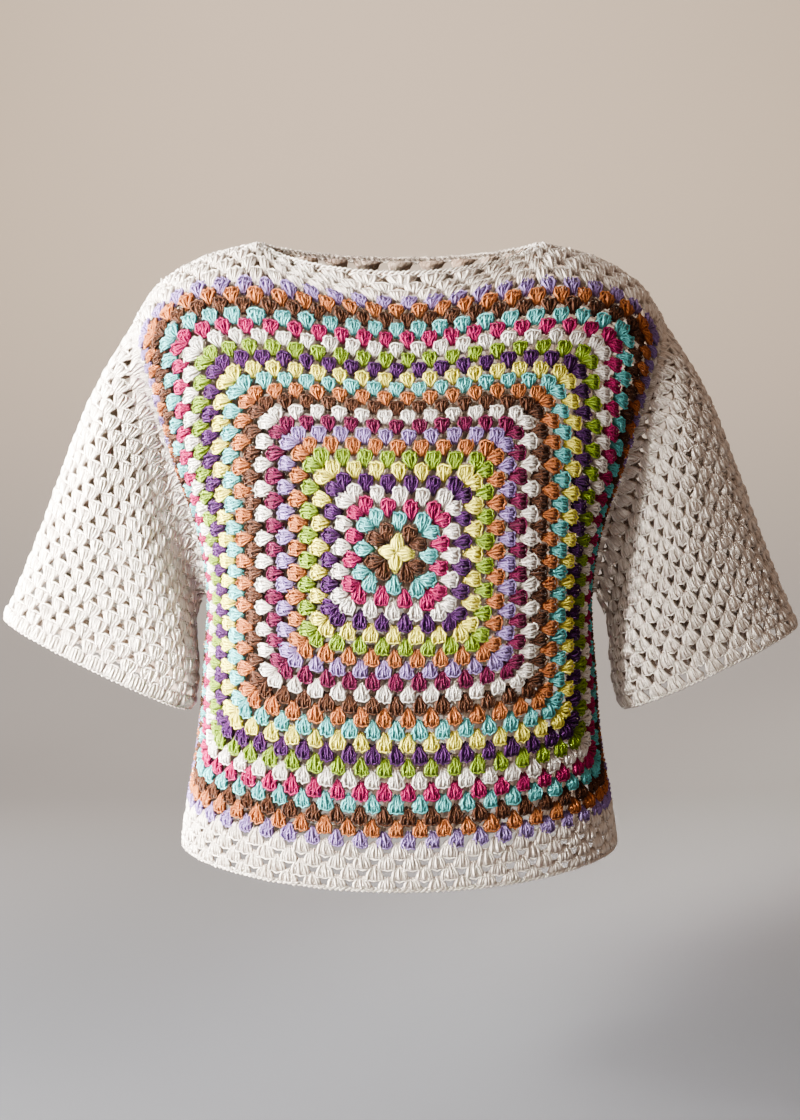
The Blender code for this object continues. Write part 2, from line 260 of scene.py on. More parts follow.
# Sleeves: clusters in each round, the height of a round, and how finely the form is read
SLEEVE_CLUSTERS = 24
SLEEVE_ROW = 10.2
SLEEVE_COLUMNS, SLEEVE_RINGS = SLEEVE_CLUSTERS * 8, 81
SLEEVE_STEP = SLEEVE_CLUSTERS * 2 * ROUND / SLEEVE_COLUMNS
SLEEVE_PLAN_ROWS = (-1, 32)
# How flat the last rounds are pulled, from how far down, and the pads under the seam
JOIN_FLAT, JOIN_REACH = 0.4, 80.0
JOIN_PAD_WIDE, JOIN_PAD_TALL, JOIN_PAD_IN = 1.1, 0.7, 3.0

# How the square's rounds pull in at their corners, and how they lean clockwise, by round
CORNER_ROUNDS = (1, 3, 4, 6, 12, 24)
CORNER_PULL = (1.0, 1.03, 1.0, 0.97, 0.96, 0.9875)
LEAN_ROUNDS = (1, 3, 6, 8, 11)
LEAN_DEGREES = (5.5, 5.5, 2.5, 1.5, 0.0)
CORNER_TURN, CORNER_REACH = 8.0, 3.0
STAR_REACH = 7.0

YARNS = "cream pale_yellow brown aqua pink white purple green orange lilac magenta".split()
# The yarn of each round of the square, from the middle out
ROUND_YARNS = (
    "pale_yellow brown aqua pink white purple pale_yellow green orange lilac magenta white"
    " brown orange aqua pale_yellow purple green white pink aqua brown orange lilac"
).split()

# One post of a cluster, from its base up: where along it, how far apart the posts are
# there, how high it stands off the cloth, how far its two plies lie from its middle, how
# thick they are, and how much light reaches them
Station = namedtuple("Station", "along spread height apart radius light")


def profile(*rows):
    """The stations of a strand, from its base up."""
    return [Station(*row) for row in rows]


FAN = profile(
    (-8.8, 1.2, -1.8, 0.6, 0.80, 0.2),
    (-5.2, 2.4, 0.4, 0.9, 1.15, 0.75),
    (-1.2, 3.9, 1.9, 1.05, 1.30, 1.0),
    (2.6, 4.3, 1.6, 1.05, 1.25, 1.0),
    (5.4, 3.7, 0.1, 0.8, 0.95, 0.5),
)
# A cluster of the cream rows, which are worked wider
ROW_FAN = profile(
    (-9.4, 1.7, -0.9, 0.7, 1.00, 0.35),
    (-5.2, 3.0, 0.6, 0.95, 1.25, 0.9),
    (-0.6, 4.4, 1.1, 1.15, 1.45, 1.0),
    (4.2, 5.1, 0.4, 1.15, 1.35, 0.75),
)
# A cluster of the sleeves, which are worked closer still
SLEEVE_FAN = profile(
    (-7.6, 2.9, -0.9, 0.9, 1.10, 0.4),
    (-3.8, 3.8, 0.7, 1.1, 1.35, 0.95),
    (0.4, 5.2, 1.0, 1.3, 1.55, 1.0),
    (4.8, 5.8, 0.3, 1.3, 1.40, 0.75),
)
# A cluster worked into a starting chain, so that its posts stand side by side
UPRIGHT = profile(
    (-6.2, 6.1, -0.2, 1.3, 1.35, 0.6),
    (-2.4, 6.1, 1.5, 1.6, 1.80, 1.0),
    (1.6, 6.1, 1.6, 1.6, 1.80, 1.0),
    (5.0, 6.0, 0.3, 1.4, 1.40, 0.6),
)
# An arm of the star in the middle of the square, which narrows to its tip
STAR_ARM = profile(
    (-6.4, 1.8, 1.2, 1.0, 1.40, 0.8),
    (-3.0, 3.3, 1.9, 1.2, 1.60, 1.0),
    (0.6, 3.4, 2.1, 1.2, 1.60, 1.0),
    (4.0, 2.6, 1.6, 1.0, 1.40, 1.0),
    (6.6, 1.6, 0.2, 0.7, 1.00, 0.6),
)
# One loop of the worked edges, which is a single strand
LOOP = profile(
    (-3.5, -1.2, -0.2, 0.0, 1.0, 0.7),
    (-1.2, 0.5, 1.2, 0.0, 1.35, 1.0),
    (1.2, 1.6, 1.2, 0.0, 1.35, 1.0),
    (3.5, 0.6, -0.2, 0.0, 1.0, 0.7),
)
LOOP_PITCH, LOOP_GROOVE, LOOP_WANDER = 4.4, 0.5, 0.2
# How far the joining loops lie in from the shoulder seams and the sides
SEAM_IN, SIDE_IN = 1.0, 0.5

# The pad of yarn under a cluster's strands: half of its outline, across and along
FAN_PAD = ((1.8, -8.6), (4.6, -4.0), (6.3, 1.0), (4.6, 5.6))
ROW_PAD = ((2.4, -8.8), (4.6, -4.8), (6.2, -0.8), (7.6, 2.4), (7.0, 5.0))
SLEEVE_PAD = ((4.2, -7.4), (5.6, -4.4), (6.1, -1.8), (9.3, 1.8), (8.8, 5.0))
UPRIGHT_PAD = ((9.4, -6.2), (9.6, -2.0), (9.6, 1.6), (9.2, 5.0))
STAR_PAD = ((2.6, -6.4), (4.8, -3.0), (4.6, 2.0), (2.0, 6.4))
# Painted shade: a pad's top is painted at its work's groove light, and its rim and underside darker still, at
# RIM_LIGHT of that
PAD_TOP, PAD_LOW, RIM_LIGHT = 0.82, -1.5, 0.2
# Work: a cluster's posts and pad, how high its pad is and how much light reaches it and
# the sides of the strands, how wide its chain is for its size and where it lies, how far
# its strands wander, how far a post's plies twist, and whether each post is wrapped
Work = namedtuple(
    "Work", "stations pad pad_high groove chain_wide chain_shift wander twist wrapped"
)
WORKS = {
    "square": Work(FAN, FAN_PAD, 0.7, 0.34, 1.0, (0.0, 0.0, 0.0), 0.5, 110.0, True),
    "star": Work(STAR_ARM, STAR_PAD, 1.4, 0.4, 0.45, (0.0, 1.6, -0.6), 0.25, 100.0, False),
    "row": Work(ROW_FAN, ROW_PAD, 0.8, 0.5, 1.55, (0.0, -0.6, -0.2), 0.25, 70.0, False),
    "up": Work(SLEEVE_FAN, SLEEVE_PAD, 1.3, 0.6, 1.25, (0.0, -0.7, -0.5), 0.3, 70.0, False),
    "down": Work(SLEEVE_FAN, SLEEVE_PAD, 1.3, 0.66, 1.3, (0.0, -0.7, -0.2), 0.4, 140.0, False),
    "upright": Work(UPRIGHT, UPRIGHT_PAD, 1.9, 0.66, 1.45, (0.0, -0.6, -0.5), 0.25, 60.0, False),
}
KINDS = list(WORKS)
MIDDLE_RISE = 0.7
# The chain over a cluster's posts: across, along and height of its points
CHAIN = (
    (-5.9, 3.5, -0.4),
    (-4.2, 5.7, 1.2),
    (-2.1, 5.4, 0.6),
    (0.0, 6.4, 1.7),
    (2.1, 5.4, 0.6),
    (4.2, 5.7, 1.2),
    (5.9, 3.5, -0.4),
)
CHAIN_RADIUS = 1.15
# The yarn that wraps each post at half its height
WRAP = ((-2.3, -2.6, 0.9), (0.1, -0.6, 3.1), (2.3, 1.2, 1.2))
WRAP_RADIUS, WRAP_LIGHT = 0.95, 0.9
# The sides of a strand: the one that faces out is lit, and the others lie in grooves
STRAND_SIDES = (210, 90, -30)
LIT_SIDE = 90
VARIANTS = 5
# How far clusters lean by hand, either way
HAND_TURN = math.radians(4.0)
# What a stitch's place across counts for in the number that its chance draws come from
ID_STEP = 10007
STITCH_SEED, SQUARE_SEED, ROW_SEED, SLEEVE_SEED, LOOP_SEED, PAD_SEED = 1, 11, 12, 14, 15, 16

# Look of the cotton: how fine its tone and fibres are, how its plies twist, how much each
# of these shades it, and how rough it is
TONE_SCALE, FIBRES_ROUND, FIBRES_ALONG = 90.0, 26.0, 3.0
PLIES_ROUND, PLIES_ALONG = 3.0, 0.55
PLY_SHADE, TONE_SHADE, FIBRE_SHADE, CLUSTER_SHADE = 0.25, 0.25, 0.35, 0.04
PLY_HEIGHT, FIBRE_HEIGHT = 0.7, 0.5
LEAST_ROUGH, FIBRE_ROUGH = 0.72, 0.2
SHEEN, SPECULAR = 0.04, 0.12

# What each piece of cloth measures flat, in metres and square metres
PANEL_FLAT = (2 * HALF_WIDTH * MM, (TOP_ROW + SHOULDER_ROWS - HEM_ROW) * ROW * MM)
SLEEVE_FLAT = (SLEEVE_CLUSTERS * 2 * ROUND * MM, 0.29)
CUTS = {
    "front": {"flat": PANEL_FLAT},
    "back": {"flat": PANEL_FLAT},
    "sleeve_left": {"flat": SLEEVE_FLAT, "area": 0.119},
    "sleeve_right": {"flat": SLEEVE_FLAT, "area": 0.119},
}

# Studio, in metres, watts and degrees
CAMERA_TARGET, CAMERA_RISE = (0.00043, 0.0, -0.2726), math.radians(5.0)
BACKDROP_HALF, BACKDROP_START, BACKDROP_END, BACKDROP_TOP = 7.0, -5.0, 3.4, 3.2
COVE_RADIUS, COVE_STEPS = 1.4, 16
# Where the backdrop's colours blend, as the sum of y and z
FLOOR_DARKEST, FLOOR_BLEND, WALL_BLEND = -0.5, (0.1, 2.3), (1.8, 3.9)
BACKDROP_ROUGH = 0.9
WINDOW_LIGHT, WALL_LIGHT = (1.0, 0.95, 0.88), (1.0, 0.93, 0.85)
ROOM_LIGHT, ROOM_STRENGTH = (1.0, 0.70, 0.53), 0.40
Lamp = namedtuple("Lamp", "name place target size spread power colour")
LAMPS = (
    Lamp("side_light", (-1.6, -0.35, 0.1), (-0.2, 0.0, -0.33), 0.6, 180, 315.0, WINDOW_LIGHT),
    Lamp("low_light", (-1.05, -0.6, -0.3), (-0.2, -0.05, -0.3), 0.5, 180, 25.0, WINDOW_LIGHT),
    Lamp("sleeve_light", (-1.2, -1.3, 0.5), (-0.3, 0.0, -0.25), 0.4, 25, 13.0, WINDOW_LIGHT),
    Lamp("front_light", (-1.3, -1.2, 0.45), (-0.1, -0.1, -0.3), 0.4, 15, 0.8, WINDOW_LIGHT),
    Lamp("top_light", (0.1, 0.9, 1.6), (0.0, 0.0, -0.27), 1.2, 180, 6.0, WINDOW_LIGHT),
    Lamp("back_light", (-1.2, 1.25, 0.3), (0.0, 0.0, -0.27), 0.8, 180, 40.0, WINDOW_LIGHT),
    Lamp("wall_light", (-0.4, 1.8, 1.7), (0.0, 3.4, 0.3), 1.0, 180, 30.0, WALL_LIGHT),
)


def unit(vectors):
    return vectors / np.linalg.norm(vectors, axis=-1, keepdims=True)


def smooth_step(value):
    value = np.clip(value, 0.0, 1.0)
    return value * value * (3.0 - 2.0 * value)


def curve_through(stations, values, slopes, at):
    """Values between stations on cubics, for each column of at, and straight on past them."""
    stations = np.asarray(stations, float)
    inside = np.clip(at, stations[0], stations[-1])
    index = np.clip(np.searchsorted(stations, inside) - 1, 0, len(stations) - 2)
    span = stations[index + 1] - stations[index]
    part = ((inside - stations[index]) / span)[..., None]
    span, column = span[..., None], np.arange(at.shape[1])[None, :]
    start = (1 + 2 * part) * (1 - part) ** 2
    leave = part * (1 - part) ** 2
    end = part**2 * (3 - 2 * part)
    arrive = part**2 * (part - 1)
    first, last = slopes[index, column], slopes[index + 1, column]
    on_curve = (
        start * values[index, column]
        + leave * span * first
        + end * values[index + 1, column]
        + arrive * span * last
    )
    return on_curve + (at - inside)[..., None] * np.where(part > 0.5, last, first)


def lengths_along(line):
    """How far along a line, or along each of several, its points lie."""
    steps = np.linalg.norm(np.diff(line, axis=0), axis=-1)
    return np.concatenate([np.zeros_like(steps[:1]), np.cumsum(steps, axis=0)])


def read_off(at, length, line):
    """Points of a line at other lengths along it."""
    return np.stack([np.interp(at, length, column) for column in line.T], axis=1)


def seam_line(across):
    """The shoulder seam's x and z at these places across."""
    table = np.array(SHOULDER)[:, None]
    places, values = table[:, 0, 0], table[..., 1:]
    slopes = np.gradient(values, places, axis=0)
    return curve_through(places, values, slopes, across[:, None])[:, 0].T


def section_points(section, side, across):
    """One level of the body, evenly spaced round from the middle to the seam."""
    middle, seam, power = section.front if side == FRONT else section.back
    turn = np.linspace(0.0, np.pi / 2, CURVE_SAMPLES)
    out = np.sin(turn) ** (2 / power)
    deep = seam + (middle - seam) * np.cos(turn) ** (2 / power)
    fall = section.seam - section.middle - section.sag
    sag = section.sag * smooth_step(out / SAG_REACH)
    high = section.middle + sag + fall * out**section.seam_power
    line = np.stack([section.half_width * out, deep, high], axis=1)
    length = lengths_along(line)
    points = read_off(np.abs(across) * length[-1], length, line)
    points[:, 0] *= np.sign(across)
    return points


def top_points(side, across):
    """The top edge: the neckline in the middle and the shoulder seams beside it."""
    depth, drop = NECK_BOW[side]
    away = np.abs(across)
    turn = np.clip(away / NECK_ACROSS, 0.0, 1.0) * np.pi / 2
    neck = (
        NECK_HALF_WIDTH * np.sin(turn),
        depth * np.cos(turn) ** NECK_DEPTH_POWER,
        NECK_HEIGHT - drop * np.cos(turn) ** NECK_DROP_POWER,
    )
    seam_x, seam_z = seam_line(np.clip(away, NECK_ACROSS, 1.0))
    x, y, z = np.where(away < NECK_ACROSS, neck, (seam_x, np.zeros_like(away), seam_z))
    return np.stack([x * np.sign(across), y, z], axis=1)


def top_slopes(side, across):
    """How the cloth arrives at the top edge: rising at the neck, level on the shoulders."""
    away = np.abs(across)[:, None]
    shoulder = smooth_step((away - RUN_TURNS) / (NECK_ACROSS - RUN_TURNS))
    tip = smooth_step((away - TIP_STARTS) / (1 - TIP_STARTS))
    seam = SEAM_RUN * (1 - tip) + TIP_RUN * tip
    run = NECK_RUN * (1 - shoulder) + seam * shoulder
    facing = np.stack([np.sign(across), np.full_like(across, -side), np.ones_like(across)])
    return run * facing.T


def shoulder_rows(across):
    """Rows that the shoulders have above the middle of the neckline."""
    away = np.abs(across)
    rise = smooth_step((away - NECK_ACROSS / 2) / (NECK_ACROSS / 2))
    return SHOULDER_ROWS * rise * smooth_step((1 - away) / SHOULDER_END)


def top_row(x):
    """The row at which a panel ends, this far from its middle."""
    return TOP_ROW + shoulder_rows(x / HALF_WIDTH)


def panel_points(side, across, stations):
    """The middle of a body panel's cloth, for stations[row, column] on these columns."""
    across = np.asarray(across, float)
    curves = [section_points(section, side, across) for section in SECTIONS]
    curves = np.array(curves + [top_points(side, across)])
    rows = [section.row for section in SECTIONS] + [TOP_ROW]
    slopes = np.gradient(curves, rows, axis=0)
    slopes[-1] = top_slopes(side, across)
    return curve_through(rows, curves, slopes, stations)


def station_of(rows, across):
    """Where on the form crocheted rows lie, which crowd over the shoulders."""
    crowd = (TOP_ROW - YOKE_ROW) / (TOP_ROW + shoulder_rows(across) - YOKE_ROW)
    return np.where(rows < YOKE_ROW, rows, YOKE_ROW + (rows - YOKE_ROW) * crowd)


def armhole_points(side, around):
    """The armhole at these shares of a round: down the front and up the back again."""
    low = np.linspace(UNDERARM_ROW, YOKE_ROW, ARMHOLE_LOW + 1)
    high = np.linspace(YOKE_ROW, TOP_ROW, ARMHOLE_HIGH + 1)
    rows = np.concatenate([low[:-1], high])[::-1]
    steps = len(rows) - 1
    place = np.where(around <= 0.5, around, 1 - around) * 2 * steps
    at = np.interp(place, np.arange(steps + 1), rows)[:, None]
    edge = np.array([float(side)])
    front = panel_points(FRONT, edge, at)[:, 0]
    back = panel_points(BACK, edge, at)[:, 0]
    points = np.where((around <= 0.5)[:, None], front, back)
    under = np.isclose(around, 0.5)
    points[under] = ((front + back) / 2)[under]
    return points


def squared(turns):
    """Sines or cosines that make a ring a little square."""
    return np.sign(turns) * np.abs(turns) ** (2 / CUFF_POWER)


def cuff_points(sleeve, around):
    outer, inner = sleeve.outer, sleeve.inner
    turn = 2 * np.pi * around[:, None]
    depth = np.array([0.0, -sleeve.half_depth, 0.0])
    wide, deep = squared(np.cos(turn)), squared(np.sin(turn))
    return (outer + inner) / 2 + wide * (outer - inner) / 2 + deep * depth


def cuff_direction(sleeve):
    """Down the sleeve, square to the cuff."""
    across, _, rise = np.abs(unit(sleeve.outer - sleeve.inner))
    return np.array([sleeve.side * rise, 0.0, -across])


def sleeve_points(sleeve, around, along):
    """The middle of a sleeve's cloth, as [place along, place round, xyz]."""
    start = armhole_points(sleeve.side, around)
    end = cuff_points(sleeve, around)
    length = np.linalg.norm(end - start, axis=1)[:, None]
    forward = np.sin(2 * np.pi * around)[:, None]
    under = smooth_step(1 - 4 * np.abs(around - 0.5))[:, None]
    leave = np.abs(forward) * LEAVE_FRONT + under * LEAVE_UNDER + LEAVE_SHOULDER
    leave[:, :2] *= np.concatenate([np.full_like(forward, sleeve.side), -np.sign(forward)], axis=1)
    slopes = np.array(
        [unit(leave) * length * SLEEVE_START, cuff_direction(sleeve) * length * SLEEVE_END]
    )
    at = np.repeat(along[:, None], len(around), axis=1)
    grid = curve_through([0.0, 1.0], np.array([start, end]), slopes, at)
    inward = -unit(np.cross(np.gradient(grid, axis=1), np.gradient(grid, axis=0)))
    if np.sum(inward * (grid - grid.mean(axis=(0, 1)))) > 0:
        inward = -inward
    for trough in TROUGHS:
        if trough.side == sleeve.side:
            beside = np.exp(-(((around - trough.around) / trough.spread) ** 2))
            down = np.exp(-(((along - trough.along) / trough.reach) ** 2))
            start_free = smooth_step(along / TROUGH_FREE_ENDS)
            end_free = smooth_step((1 - along) / TROUGH_FREE_ENDS)
            depth = trough.depth * (down * start_free * end_free)[:, None] * beside[None]
            grid = grid + inward * depth[..., None]
    return grid


def evenly(line):
    """A line's points again, at even distances along it."""
    length = lengths_along(line)
    return read_off(np.linspace(0.0, length[-1], len(line)), length, line)


def softened(grid):
    """A grid whose values are drawn towards their neighbours', in both directions."""
    for _ in range(NORMAL_SMOOTHING):
        for axis in (0, 1):
            ends = [(1, 1) if number == axis else (0, 0) for number in range(grid.ndim)]
            wider = np.pad(grid, ends, mode="edge")
            before, after = np.delete(wider, (-1, -2), axis), np.delete(wider, (0, 1), axis)
            grid = (before + 2 * grid + after) / 4
    return grid


class Surface:
    """Part of the form as a fine grid of points over its flat plan."""

    def __init__(self, points, across, along):
        self.points, self.across, self.along = points, across, along
        slope_across = np.gradient(points, across, axis=1)
        slope_along = np.gradient(points, along, axis=0)
        self.normals = unit(softened(np.cross(slope_across, slope_along)))
        # Where the plan is squeezed on the form, what stands on it is lower
        room = np.minimum(*(np.linalg.norm(s, axis=2) for s in (slope_across, slope_along)))
        self.room = np.clip(room, LEAST_ROOM, 1.0)[..., None]

    def lift(self, plan):
        """Points x, y and height above the plan, carried to the form."""
        places = []
        for value, line in ((plan[:, 0], self.across), (plan[:, 1], self.along)):
            place = (value - line[0]) / (line[1] - line[0])
            low = np.clip(np.floor(place).astype(int), 0, len(line) - 2)
            places.append((low, (place - low)[:, None]))
        (column, over), (row, up) = places

        def between(grid):
            lower = grid[row, column] * (1 - over) + grid[row, column + 1] * over
            upper = grid[row + 1, column] * (1 - over) + grid[row + 1, column + 1] * over
            return lower * (1 - up) + upper * up

        height = plan[:, 2:3] * between(self.room)
        return between(self.points) + unit(between(self.normals)) * height


def stretch_of(low, high):
    return np.linspace(low, high, int((high - low) / GRID_STEP) + 1)


def panel_surface(side):
    """Front or back over its plan, x to the right as seen from outside."""
    across = stretch_of(-HALF_WIDTH, HALF_WIDTH)
    along = stretch_of((HEM_ROW - 1) * ROW, (TOP_ROW + SHOULDER_ROWS + 1) * ROW)
    places = -side * across / HALF_WIDTH
    rows = np.repeat(along[:, None] / ROW, len(across), axis=1)
    points = panel_points(side, places, station_of(rows, places[None, :]))
    return Surface(points, across, along)


def carried_past(values, axis):
    """Values round a closed ring, with a few of them again past each end."""
    count = values.shape[axis]
    order = [*range(count - SPARE - 1, count - 1), *range(count), *range(1, SPARE + 1)]
    return np.take(values, order, axis)


def sleeve_surface(sleeve):
    """A sleeve over its plan, with its length at each column of samples.

    On the plan, y is the distance up from the cuff along the cloth.
    """
    around = np.linspace(0.0, 1.0, SLEEVE_COLUMNS + 1)
    rings = sleeve_points(sleeve, around, np.linspace(0.0, 1.0, SLEEVE_RINGS))
    half = SLEEVE_COLUMNS // 2
    for ring in rings:
        ring[: half + 1] = evenly(ring[: half + 1])
        ring[half:] = evenly(ring[half:])
    columns = rings[::-1]
    height = lengths_along(columns)
    along = stretch_of(*(row * ROW for row in SLEEVE_PLAN_ROWS))
    points = np.empty((len(along), SLEEVE_COLUMNS + 1, 3))
    for column, (line, length) in enumerate(zip(columns.swapaxes(0, 1), height.T)):
        inside = np.clip(along, 0.0, length[-1])
        past = (along - inside)[:, None]
        onward = np.where(past > 0, unit(line[-1] - line[-2]), unit(line[1] - line[0]))
        points[:, column] = read_off(inside, length, line) + past * onward
    lengths = height[-1]
    if sleeve.side > 0:
        points, lengths = points[:, ::-1], lengths[::-1]
    across = np.arange(-SPARE, SLEEVE_COLUMNS + SPARE + 1) * SLEEVE_STEP
    surface = Surface(carried_past(points, 1), across, along)
    # The last rounds are pulled flat where they are joined to the body
    free = smooth_step((carried_past(lengths, 0) - along[:, None]) / JOIN_REACH)
    surface.room *= (JOIN_FLAT + (1 - JOIN_FLAT) * free)[..., None]
    return surface, lengths


def length_at(lengths, x):
    """A sleeve's length between the columns of samples."""
    return np.interp(x, np.arange(len(lengths)) * SLEEVE_STEP, lengths)


def edge_surface(ring, outward, normals):
    """A strip that carries a closed edge on, and the edge's length.

    On its plan, x runs along the edge and y out from it.
    """
    closed = [np.concatenate([values, values[:1]]) for values in (ring, outward, normals)]
    length = lengths_along(closed[0])
    across = stretch_of(0.0, length[-1])
    ring, outward, normals = (read_off(across, length, values) for values in closed)
    outward = unit(outward)
    if np.sum(np.cross(np.gradient(ring, axis=0), outward) * normals) < 0:
        ring, outward = ring[::-1], outward[::-1]
    along = np.array(EDGE_REACH)
    points = carried_past(ring + outward * along[:, None, None], 1)
    places = np.arange(-SPARE, len(across) + SPARE) * (across[1] - across[0])
    return Surface(points, places, along), length[-1]


def sum_of(operation, reflected=False):
    """A method that works a Math operation out on a wire and another value."""

    def work_out(wire, other):
        values = (other, wire) if reflected else (wire, other)
        return wire.graph.maths(operation, *values)

    return work_out


class Wire:
    """An output socket that can be used in sums as a number is."""

    __add__, __radd__ = sum_of("ADD"), sum_of("ADD", reflected=True)
    __sub__, __rsub__ = sum_of("SUBTRACT"), sum_of("SUBTRACT", reflected=True)
    __mul__, __rmul__ = sum_of("MULTIPLY"), sum_of("MULTIPLY", reflected=True)

    def __init__(self, graph, socket):
        self.graph, self.socket = graph, socket

    def __abs__(self):
        return self.graph.maths("ABSOLUTE", self)


class Graph:
    """A node tree that is written as expressions."""

    def __init__(self, tree):
        self.tree = tree

    def plug(self, node, inputs):
        """Give a node's inputs, by name or number, their values or links."""
        for key, value in inputs.items():
            if isinstance(value, Wire):
                self.tree.links.new(value.socket, node.inputs[key])
            else:
                node.inputs[key].default_value = value

    def add(self, kind, settings=None, inputs=None, output=0):
        node = self.tree.nodes.new(kind)
        for name, value in (settings or {}).items():
            setattr(node, name, value)
        self.plug(node, inputs or {})
        return Wire(self, node.outputs[output])

    def maths(self, operation, *values):
        return self.add("ShaderNodeMath", {"operation": operation}, dict(enumerate(values)))

    def parts(self, vector):
        """The x, y and z of a vector."""
        split = self.add("ShaderNodeSeparateXYZ", inputs={0: vector}).socket.node
        return [Wire(self, output) for output in split.outputs]

    def noise(self, place, scale, detail):
        inputs = {"Vector": place, "Scale": scale, "Detail": detail}
        return self.add("ShaderNodeTexNoise", inputs=inputs)

    def mixed(self, factor, first, second):
        inputs = {0: factor, 6: first, 7: second}
        return self.add("ShaderNodeMix", {"data_type": "RGBA"}, inputs, 2)

    def blended(self, value, start, end):
        """0 before start and 1 past end, with a smooth change between them."""
        settings = {"interpolation_type": "SMOOTHSTEP"}
        return self.add("ShaderNodeMapRange", settings, {0: value, 1: start, 2: end})


def new_material(name):
    """A material with its graph, its shader and the place on the object."""
    material = bpy.data.materials.new(name)
    material.use_nodes = True
    graph = Graph(material.node_tree)
    place = graph.add("ShaderNodeTexCoord", output="Object")
    return material, graph, material.node_tree.nodes["Principled BSDF"], place


def yarn_material(name, settings):
    """Plied cotton: its plies twist along each strand, dull and a little uneven."""
    material, graph, shader, place = new_material(f"{name}_yarn")
    colour = np.array(getattr(settings, name))
    strand = graph.add("ShaderNodeUVMap", {"uv_map": "strand"})
    around, along, _ = graph.parts(strand)
    shade, uneven = (
        graph.add("ShaderNodeAttribute", {"attribute_name": label}, output="Fac")
        for label in ("shade", "tone")
    )
    tone = graph.noise(place, TONE_SCALE, 2.0)
    fibre_place = {0: around * FIBRES_ROUND, 1: along * FIBRES_ALONG}
    fibre = graph.noise(graph.add("ShaderNodeCombineXYZ", inputs=fibre_place), 1.0, 3.0)
    twist = (around * PLIES_ROUND + along * PLIES_ALONG) * math.pi
    ply = abs(graph.maths("SINE", twist))

    lit = shade * (1 - PLY_SHADE + ply * PLY_SHADE)
    lit = lit + (tone - 0.5) * TONE_SHADE + (fibre - 0.5) * FIBRE_SHADE
    # Painted shade: where the shade attribute is low (the strands' grooves, bases and inner faces, and the pads' rims
    # and undersides) the yarn's colour is mixed towards this darker tint
    deep = colour * np.array(settings.painted_shade_tint)
    base = graph.mixed(lit + uneven * CLUSTER_SHADE, (*deep, 1.0), (*colour, 1.0))
    height = ply * PLY_HEIGHT + fibre * FIBRE_HEIGHT
    relief = {"Strength": 1.0, "Distance": settings.ply_relief, "Height": height}
    finish = {
        "Base Color": base,
        "Roughness": fibre * FIBRE_ROUGH + LEAST_ROUGH,
        "Normal": graph.add("ShaderNodeBump", inputs=relief),
        "Sheen Weight": SHEEN,
        "Specular IOR Level": SPECULAR,
    }
    graph.plug(shader, finish)
    return material


def palette(settings):
    """Every yarn's material, in the order of YARNS."""
    found = [bpy.data.materials.get(f"{name}_yarn") for name in YARNS]
    if None in found:
        found = [yarn_material(name, settings) for name in YARNS]
    return found


class Strands:
    """Yarn strands gathered into one mesh, each a closed tube with a UV map along it."""

    def __init__(self):
        self.points, self.faces, self.maps, self.shades = [], [], [], []

    def add(self, line, radii, lights, groove):
        """A closed tube of STRAND_SIDES round a line."""
        tangents = unit(np.gradient(line, axis=0))
        length = lengths_along(line) / ROW
        first, count, last = len(self.points), len(STRAND_SIDES), len(line) - 1
        for point, tangent, radius, light in zip(line, tangents, radii, lights):
            up = unit(np.array([0.0, 0.0, 1.0]) - tangent * tangent[2])
            sideways = np.cross(tangent, up)
            for side in STRAND_SIDES:
                turn = math.radians(side)
                offset = sideways * math.cos(turn) + up * math.sin(turn)
                self.points.append(point + offset * radius)
                self.shades.append(light if side == LIT_SIDE else light * groove)
        for index in range(last):
            low, high = first + index * count, first + (index + 1) * count
            for corner in range(count):
                after = (corner + 1) % count
                self.faces.append((low + corner, low + after, high + after, high + corner))
                left, right = corner / count, (corner + 1) / count
                below, above = length[index], length[index + 1]
                self.maps += [(left, below), (right, below), (right, above), (left, above)]
        for start, corners, place in (
            (first, range(count)[::-1], length[0]),
            (first + last * count, range(count), length[-1]),
        ):
            self.faces.append(tuple(start + corner for corner in corners))
            self.maps += [(corner / count, place) for corner in corners]

    def make(self, name, collection):
        mesh = bpy.data.meshes.new(name)
        mesh.from_pydata([tuple(point) for point in self.points], [], self.faces)
        layer = mesh.uv_layers.new(name="strand")
        layer.data.foreach_set("uv", np.array(self.maps, np.float32).ravel())
        shade = mesh.attributes.new("shade", "FLOAT", "POINT")
        shade.data.foreach_set("value", np.array(self.shades, np.float32))
        mesh.shade_smooth()
        collection.objects.link(bpy.data.objects.new(name, mesh))


def look_of(stations):
    """How thick and how well lit a strand is at each of its stations."""
    return [s.radius for s in stations], [s.light for s in stations]


def add_post(strands, chance, work, post):
    """A post's plies, twisted round each other from its base to the chain."""
    last = len(work.stations) - 1
    lean = chance.uniform(-0.5, 0.5) * work.twist
    for ply in (0, 180):
        line = []
        for index, station in enumerate(work.stations):
            turn = math.radians(ply + lean + work.twist * (index / last - 0.5))
            rise = MIDDLE_RISE * station.light * (post == 0)
            across = post * station.spread + math.cos(turn) * station.apart
            height = station.height + rise + math.sin(turn) * station.apart
            line.append((across, station.along, height))
        line = np.array(line) + chance.normal(0.0, work.wander, (last + 1, 3))
        strands.add(line, *look_of(work.stations), work.groove)
    if work.wrapped:
        wrap = np.array(WRAP) + (post * work.stations[2].spread, 0.0, 0.0)
        wrap[:, 0] += chance.normal(0.0, work.wander)
        wrap[:, 1] += chance.normal(0.0, 2 * work.wander, 3)
        strands.add(wrap, [WRAP_RADIUS] * 3, [WRAP_LIGHT] * 3, work.groove)


def add_cluster(strands, chance, work):
    """A cluster's three posts and the chain over them."""
    for post in (-1, 0, 1):
        add_post(strands, chance, work, post)
    chain = np.array(CHAIN) * (work.chain_wide, 1.0, 1.0) + work.chain_shift
    chain += chance.normal(0.0, work.wander, chain.shape)
    strands.add(chain, [CHAIN_RADIUS] * len(chain), [1.0] * len(chain), work.groove)


